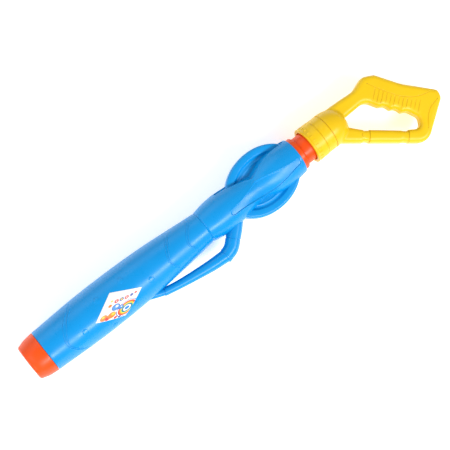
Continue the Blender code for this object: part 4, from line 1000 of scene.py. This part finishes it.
def grip_grooves():
    """Cutters for the grip's fine ribs, its two curved creases and the strut's round mark."""
    half = HANDLE_THICKNESS / 2.0
    run = (GRIP_HIGH - GRIP_LOW).normalized()
    away = Vector((run.y, -run.x))
    creases = (
        ((69.5, 14.5), (77.0, 1.5), (88.5, -16.1), (98.5, -26.5), (110.0, -33.2), (127.9, -37.8)),
        ((94.6, -68.6), (97.8, -63.6), (102.4, -58.0), (111.2, -51.4), (125.1, -48.2)),
    )
    tools = []
    for side in (1.0, -1.0):
        for number, last in enumerate(RIB_ENDS):
            middle = GRIP_HIGH - run * (3.75 + 4.87 * number)
            route = []
            for share, deep in ((0.0, -0.1), (0.13, 0.15), (0.5, 0.1), (0.85, 0.25), (1.0, 0.9)):
                spot = middle + away * (RIB_START + (last - RIB_START) * share)
                route.append((DOME + spot.x * MM, spot.y * MM, side * (half + deep * MM), 0.75 * MM))
            tools.append(swept("rib", route, 12))
        for knots in creases:
            line = smooth_line([(DOME + x * MM, y * MM) for x, y in knots], 8)
            route = [(spot.x, spot.y, side * (half + 0.05 * MM), 0.6 * MM) for spot in line]
            tools.append(swept("crease", route, 12))
        bottom, top = half - 0.35 * MM, half + MM
        inner, outer = 1.75 * MM, 2.45 * MM
        profile = [(bottom, inner), (top, inner), (top, outer), (bottom, outer)]
        mark = turned("mark", profile, SMALL_STEPS, along="Z")
        if side < 0.0:
            mark.data.transform(Matrix.Rotation(math.pi, 4, "X"))
        tools.append(shifted(mark, (DOME + 30.0 * MM, -29.2 * MM, 0.0)))
    return tools


def make_handle():
    """The handle in two halves: dome, plate with its finger opening, strut and grip."""
    half = HANDLE_THICKNESS / 2.0
    outlines = [rounded(from_dome(HANDLE_RIM)), rounded(from_dome(finger_opening()))[::-1]]
    plate = flat_plate("plate", outlines, half, 5.6 * MM, grow=-0.3 * MM)
    radius = RING_RADIUS
    tip = half - 0.8 * MM
    edge = radius - 0.2 * MM
    dome = [(DOME - 2.0 * MM, 0.0), (DOME - 2.0 * MM, edge), (DOME, edge)]
    for step in range(1, 13):
        angle = math.radians(7.5 * step)
        dome.append((DOME + DOME_LENGTH * math.sin(angle), tip + (edge - tip) * math.cos(angle)))
    handle = turned("handle", dome + [(DOME + DOME_LENGTH, 0.0)], ROUND_STEPS)
    combine(handle, [plate], "UNION")
    combine(handle, strut_rings(-3.2 * MM, 3.8 * MM, 0.0), "DIFFERENCE")
    with_modifier(handle, "REMESH", mode="VOXEL", voxel_size=0.9 * MM, use_smooth_shade=True)
    with_modifier(handle, "SMOOTH", factor=0.5, iterations=6)

    bore = NECK_RADIUS + 2.0 * SEAM
    spigot = bore + 2.0 * MM
    spigot_start = RING_START + 3.0 * MM
    band = RING_END + SEAM
    collar = [(spigot_start, 0.0)] + offsets(spigot_start, spigot, (0.0, -0.3), (0.3, 0.0)) + [(band, spigot)]
    collar += offsets(band, radius, (0.0, -0.7), (0.3, -0.4))
    collar += offsets(DOME, radius, (-1.2, -0.4), (-0.9, -0.7), (-0.9, -1.2), (-0.3, -1.2), (-0.3, -0.6),
                      (0.0, -0.3), (1.0, -0.6)) + [(DOME + 1.0 * MM, 0.0)]
    ahead = rod_between("ahead", 60.0 * MM, DOME - 20.0 * MM, DOME - 0.2 * MM, ROUND_STEPS)
    combine(handle, [ahead], "DIFFERENCE")
    combine(handle, [turned("collar", collar, BODY_STEPS)], "UNION")
    combine(handle, strut_rings(3.9 * MM, 4.5 * MM, 0.2 * MM) + grip_grooves(), "DIFFERENCE")

    places = screw_places("handle", 4)
    screw_low, screw_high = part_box("handle_screw_1")
    seat = screw_low.z - AXIS.z + HEAD_HEIGHT
    ceiling = screw_high.z - AXIS.z + SEAM
    web = band + 3.0 * MM
    pin_low, pin_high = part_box("handle_pin")
    rod_end = rod_high.x - AXIS.x + SEAM
    pin_hole = rod_between("pin_hole", 1.75 * MM, pin_low.z - AXIS.z - SEAM, pin_high.z - AXIS.z + SEAM,
                           SMALL_STEPS, along="Z")
    shifted(pin_hole, ((pin_low.x + pin_high.x) / 2.0 - AXIS.x, 0.0, 0.0))
    cutters = [rod_between("socket", bore, spigot_start - MM, web, BODY_STEPS),
               rod_between("rod_hole", ROD_RADIUS + 0.2 * MM, web - MM, rod_end, ROUND_STEPS), pin_hole]
    combine(handle, cutters + screw_wells(places, seat, ceiling), "DIFFERENCE")
    front, back = halves(handle, ("handle_front", "handle_back"))
    done(front, "plunger", YELLOW, "yellow_plastic", "handle_front_shell", angle=38.0)
    done(back, "plunger", YELLOW, "yellow_plastic", "handle_back_shell", angle=38.0)


# ---------------------------------------------------------------- carried-over pieces
def dress_carried():
    """Give the frame's own turned pieces their finishes."""
    finishes = {
        "blue_plastic": BLUE, "orange_plastic": ORANGE, "yellow_plastic": YELLOW, "clear_white_plastic": MILKY,
        "white_plastic": WHITE, "black_rubber": RUBBER, "steel": STEEL, "brass": BRASS, "label_paper": LABEL,
    }
    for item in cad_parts.values():
        for slot in item.material_slots:
            name = slot.material.name.split(".")[0]
            slot.material = finishes[name]


# ---------------------------------------------------------------- stage
def softbox(name, place, aim, width, height, power):
    """A soft rectangular light that faces its aim."""
    data = bpy.data.lights.new(name, "AREA")
    data.shape = "RECTANGLE"
    data.size = width
    data.size_y = height
    data.energy = power
    light = bpy.data.objects.new(name, data)
    bpy.context.scene.collection.objects.link(light)
    light.location = place
    light.rotation_euler = (Vector(aim) - Vector(place)).to_track_quat("-Z", "Y").to_euler()


def make_stage():
    """Floor, even daylight and a camera looking down on the pump."""
    bpy.ops.object.select_all(action="DESELECT")
    bpy.ops.mesh.primitive_plane_add(size=6.0, location=(0.0, 0.0, cad_low.z - 0.0002))
    floor = bpy.context.active_object
    floor.name = "floor"
    made, tree, shader = blank_material("pale_floor")
    place = tree.add("ShaderNodeTexCoord").outputs["Object"]
    tone = tree.mix(tree.noise(place, 6.0, 2.0), (0.86, 0.86, 0.86, 1.0), (0.89, 0.89, 0.89, 1.0))
    plug(tree, shader, "Base Color", tone)
    shader.inputs["Emission Color"].default_value = (1.0, 1.0, 1.0, 1.0)
    shader.inputs["Emission Strength"].default_value = 0.5
    shader.inputs["Roughness"].default_value = 0.95
    shader.inputs["Specular IOR Level"].default_value = 0.0
    floor.data.materials.append(made)

    scene = bpy.context.scene
    scene.view_settings.view_transform = "Standard"
    world = bpy.data.worlds.new("even_daylight")
    world.use_nodes = True
    world.node_tree.nodes["Background"].inputs["Color"].default_value = (1.0, 1.0, 1.0, 1.0)
    world.node_tree.nodes["Background"].inputs["Strength"].default_value = 0.42
    scene.world = world
    softbox("low_side", (0.1, -0.95, 1.2), (0.0, 0.0, 0.03), 1.8, 0.32, 26.0)
    softbox("high_side", (-0.2, 1.3, 0.8), (0.0, 0.0, 0.03), 1.8, 0.9, 5.0)
    softbox("cap_side", (-1.3, 0.2, 0.8), (0.0, 0.0, 0.03), 1.2, 0.9, 6.0)

    back = Vector((-math.sin(CAMERA_TILT), 0.0, math.cos(CAMERA_TILT)))
    along = Vector((1.0, 0.0, 0.0))
    level = (along - back * along.dot(back)).normalized()
    side = back.cross(level)
    right = level * math.cos(CAMERA_ROLL) - side * math.sin(CAMERA_ROLL)
    up = back.cross(right)
    turn = Matrix((right, up, back)).transposed().to_4x4()
    data = bpy.data.cameras.new("camera")
    data.lens = 96.0
    data.sensor_width = 36.0
    data.clip_start = 0.01
    camera = bpy.data.objects.new("camera", data)
    scene.collection.objects.link(camera)
    camera.matrix_world = Matrix.Translation(CAMERA_AIM + back * CAMERA_DISTANCE) @ turn
    scene.camera = camera


make_stage()
dress_carried()
make_body()
make_cap()
make_label()
make_neck()
make_ring()
make_handle()
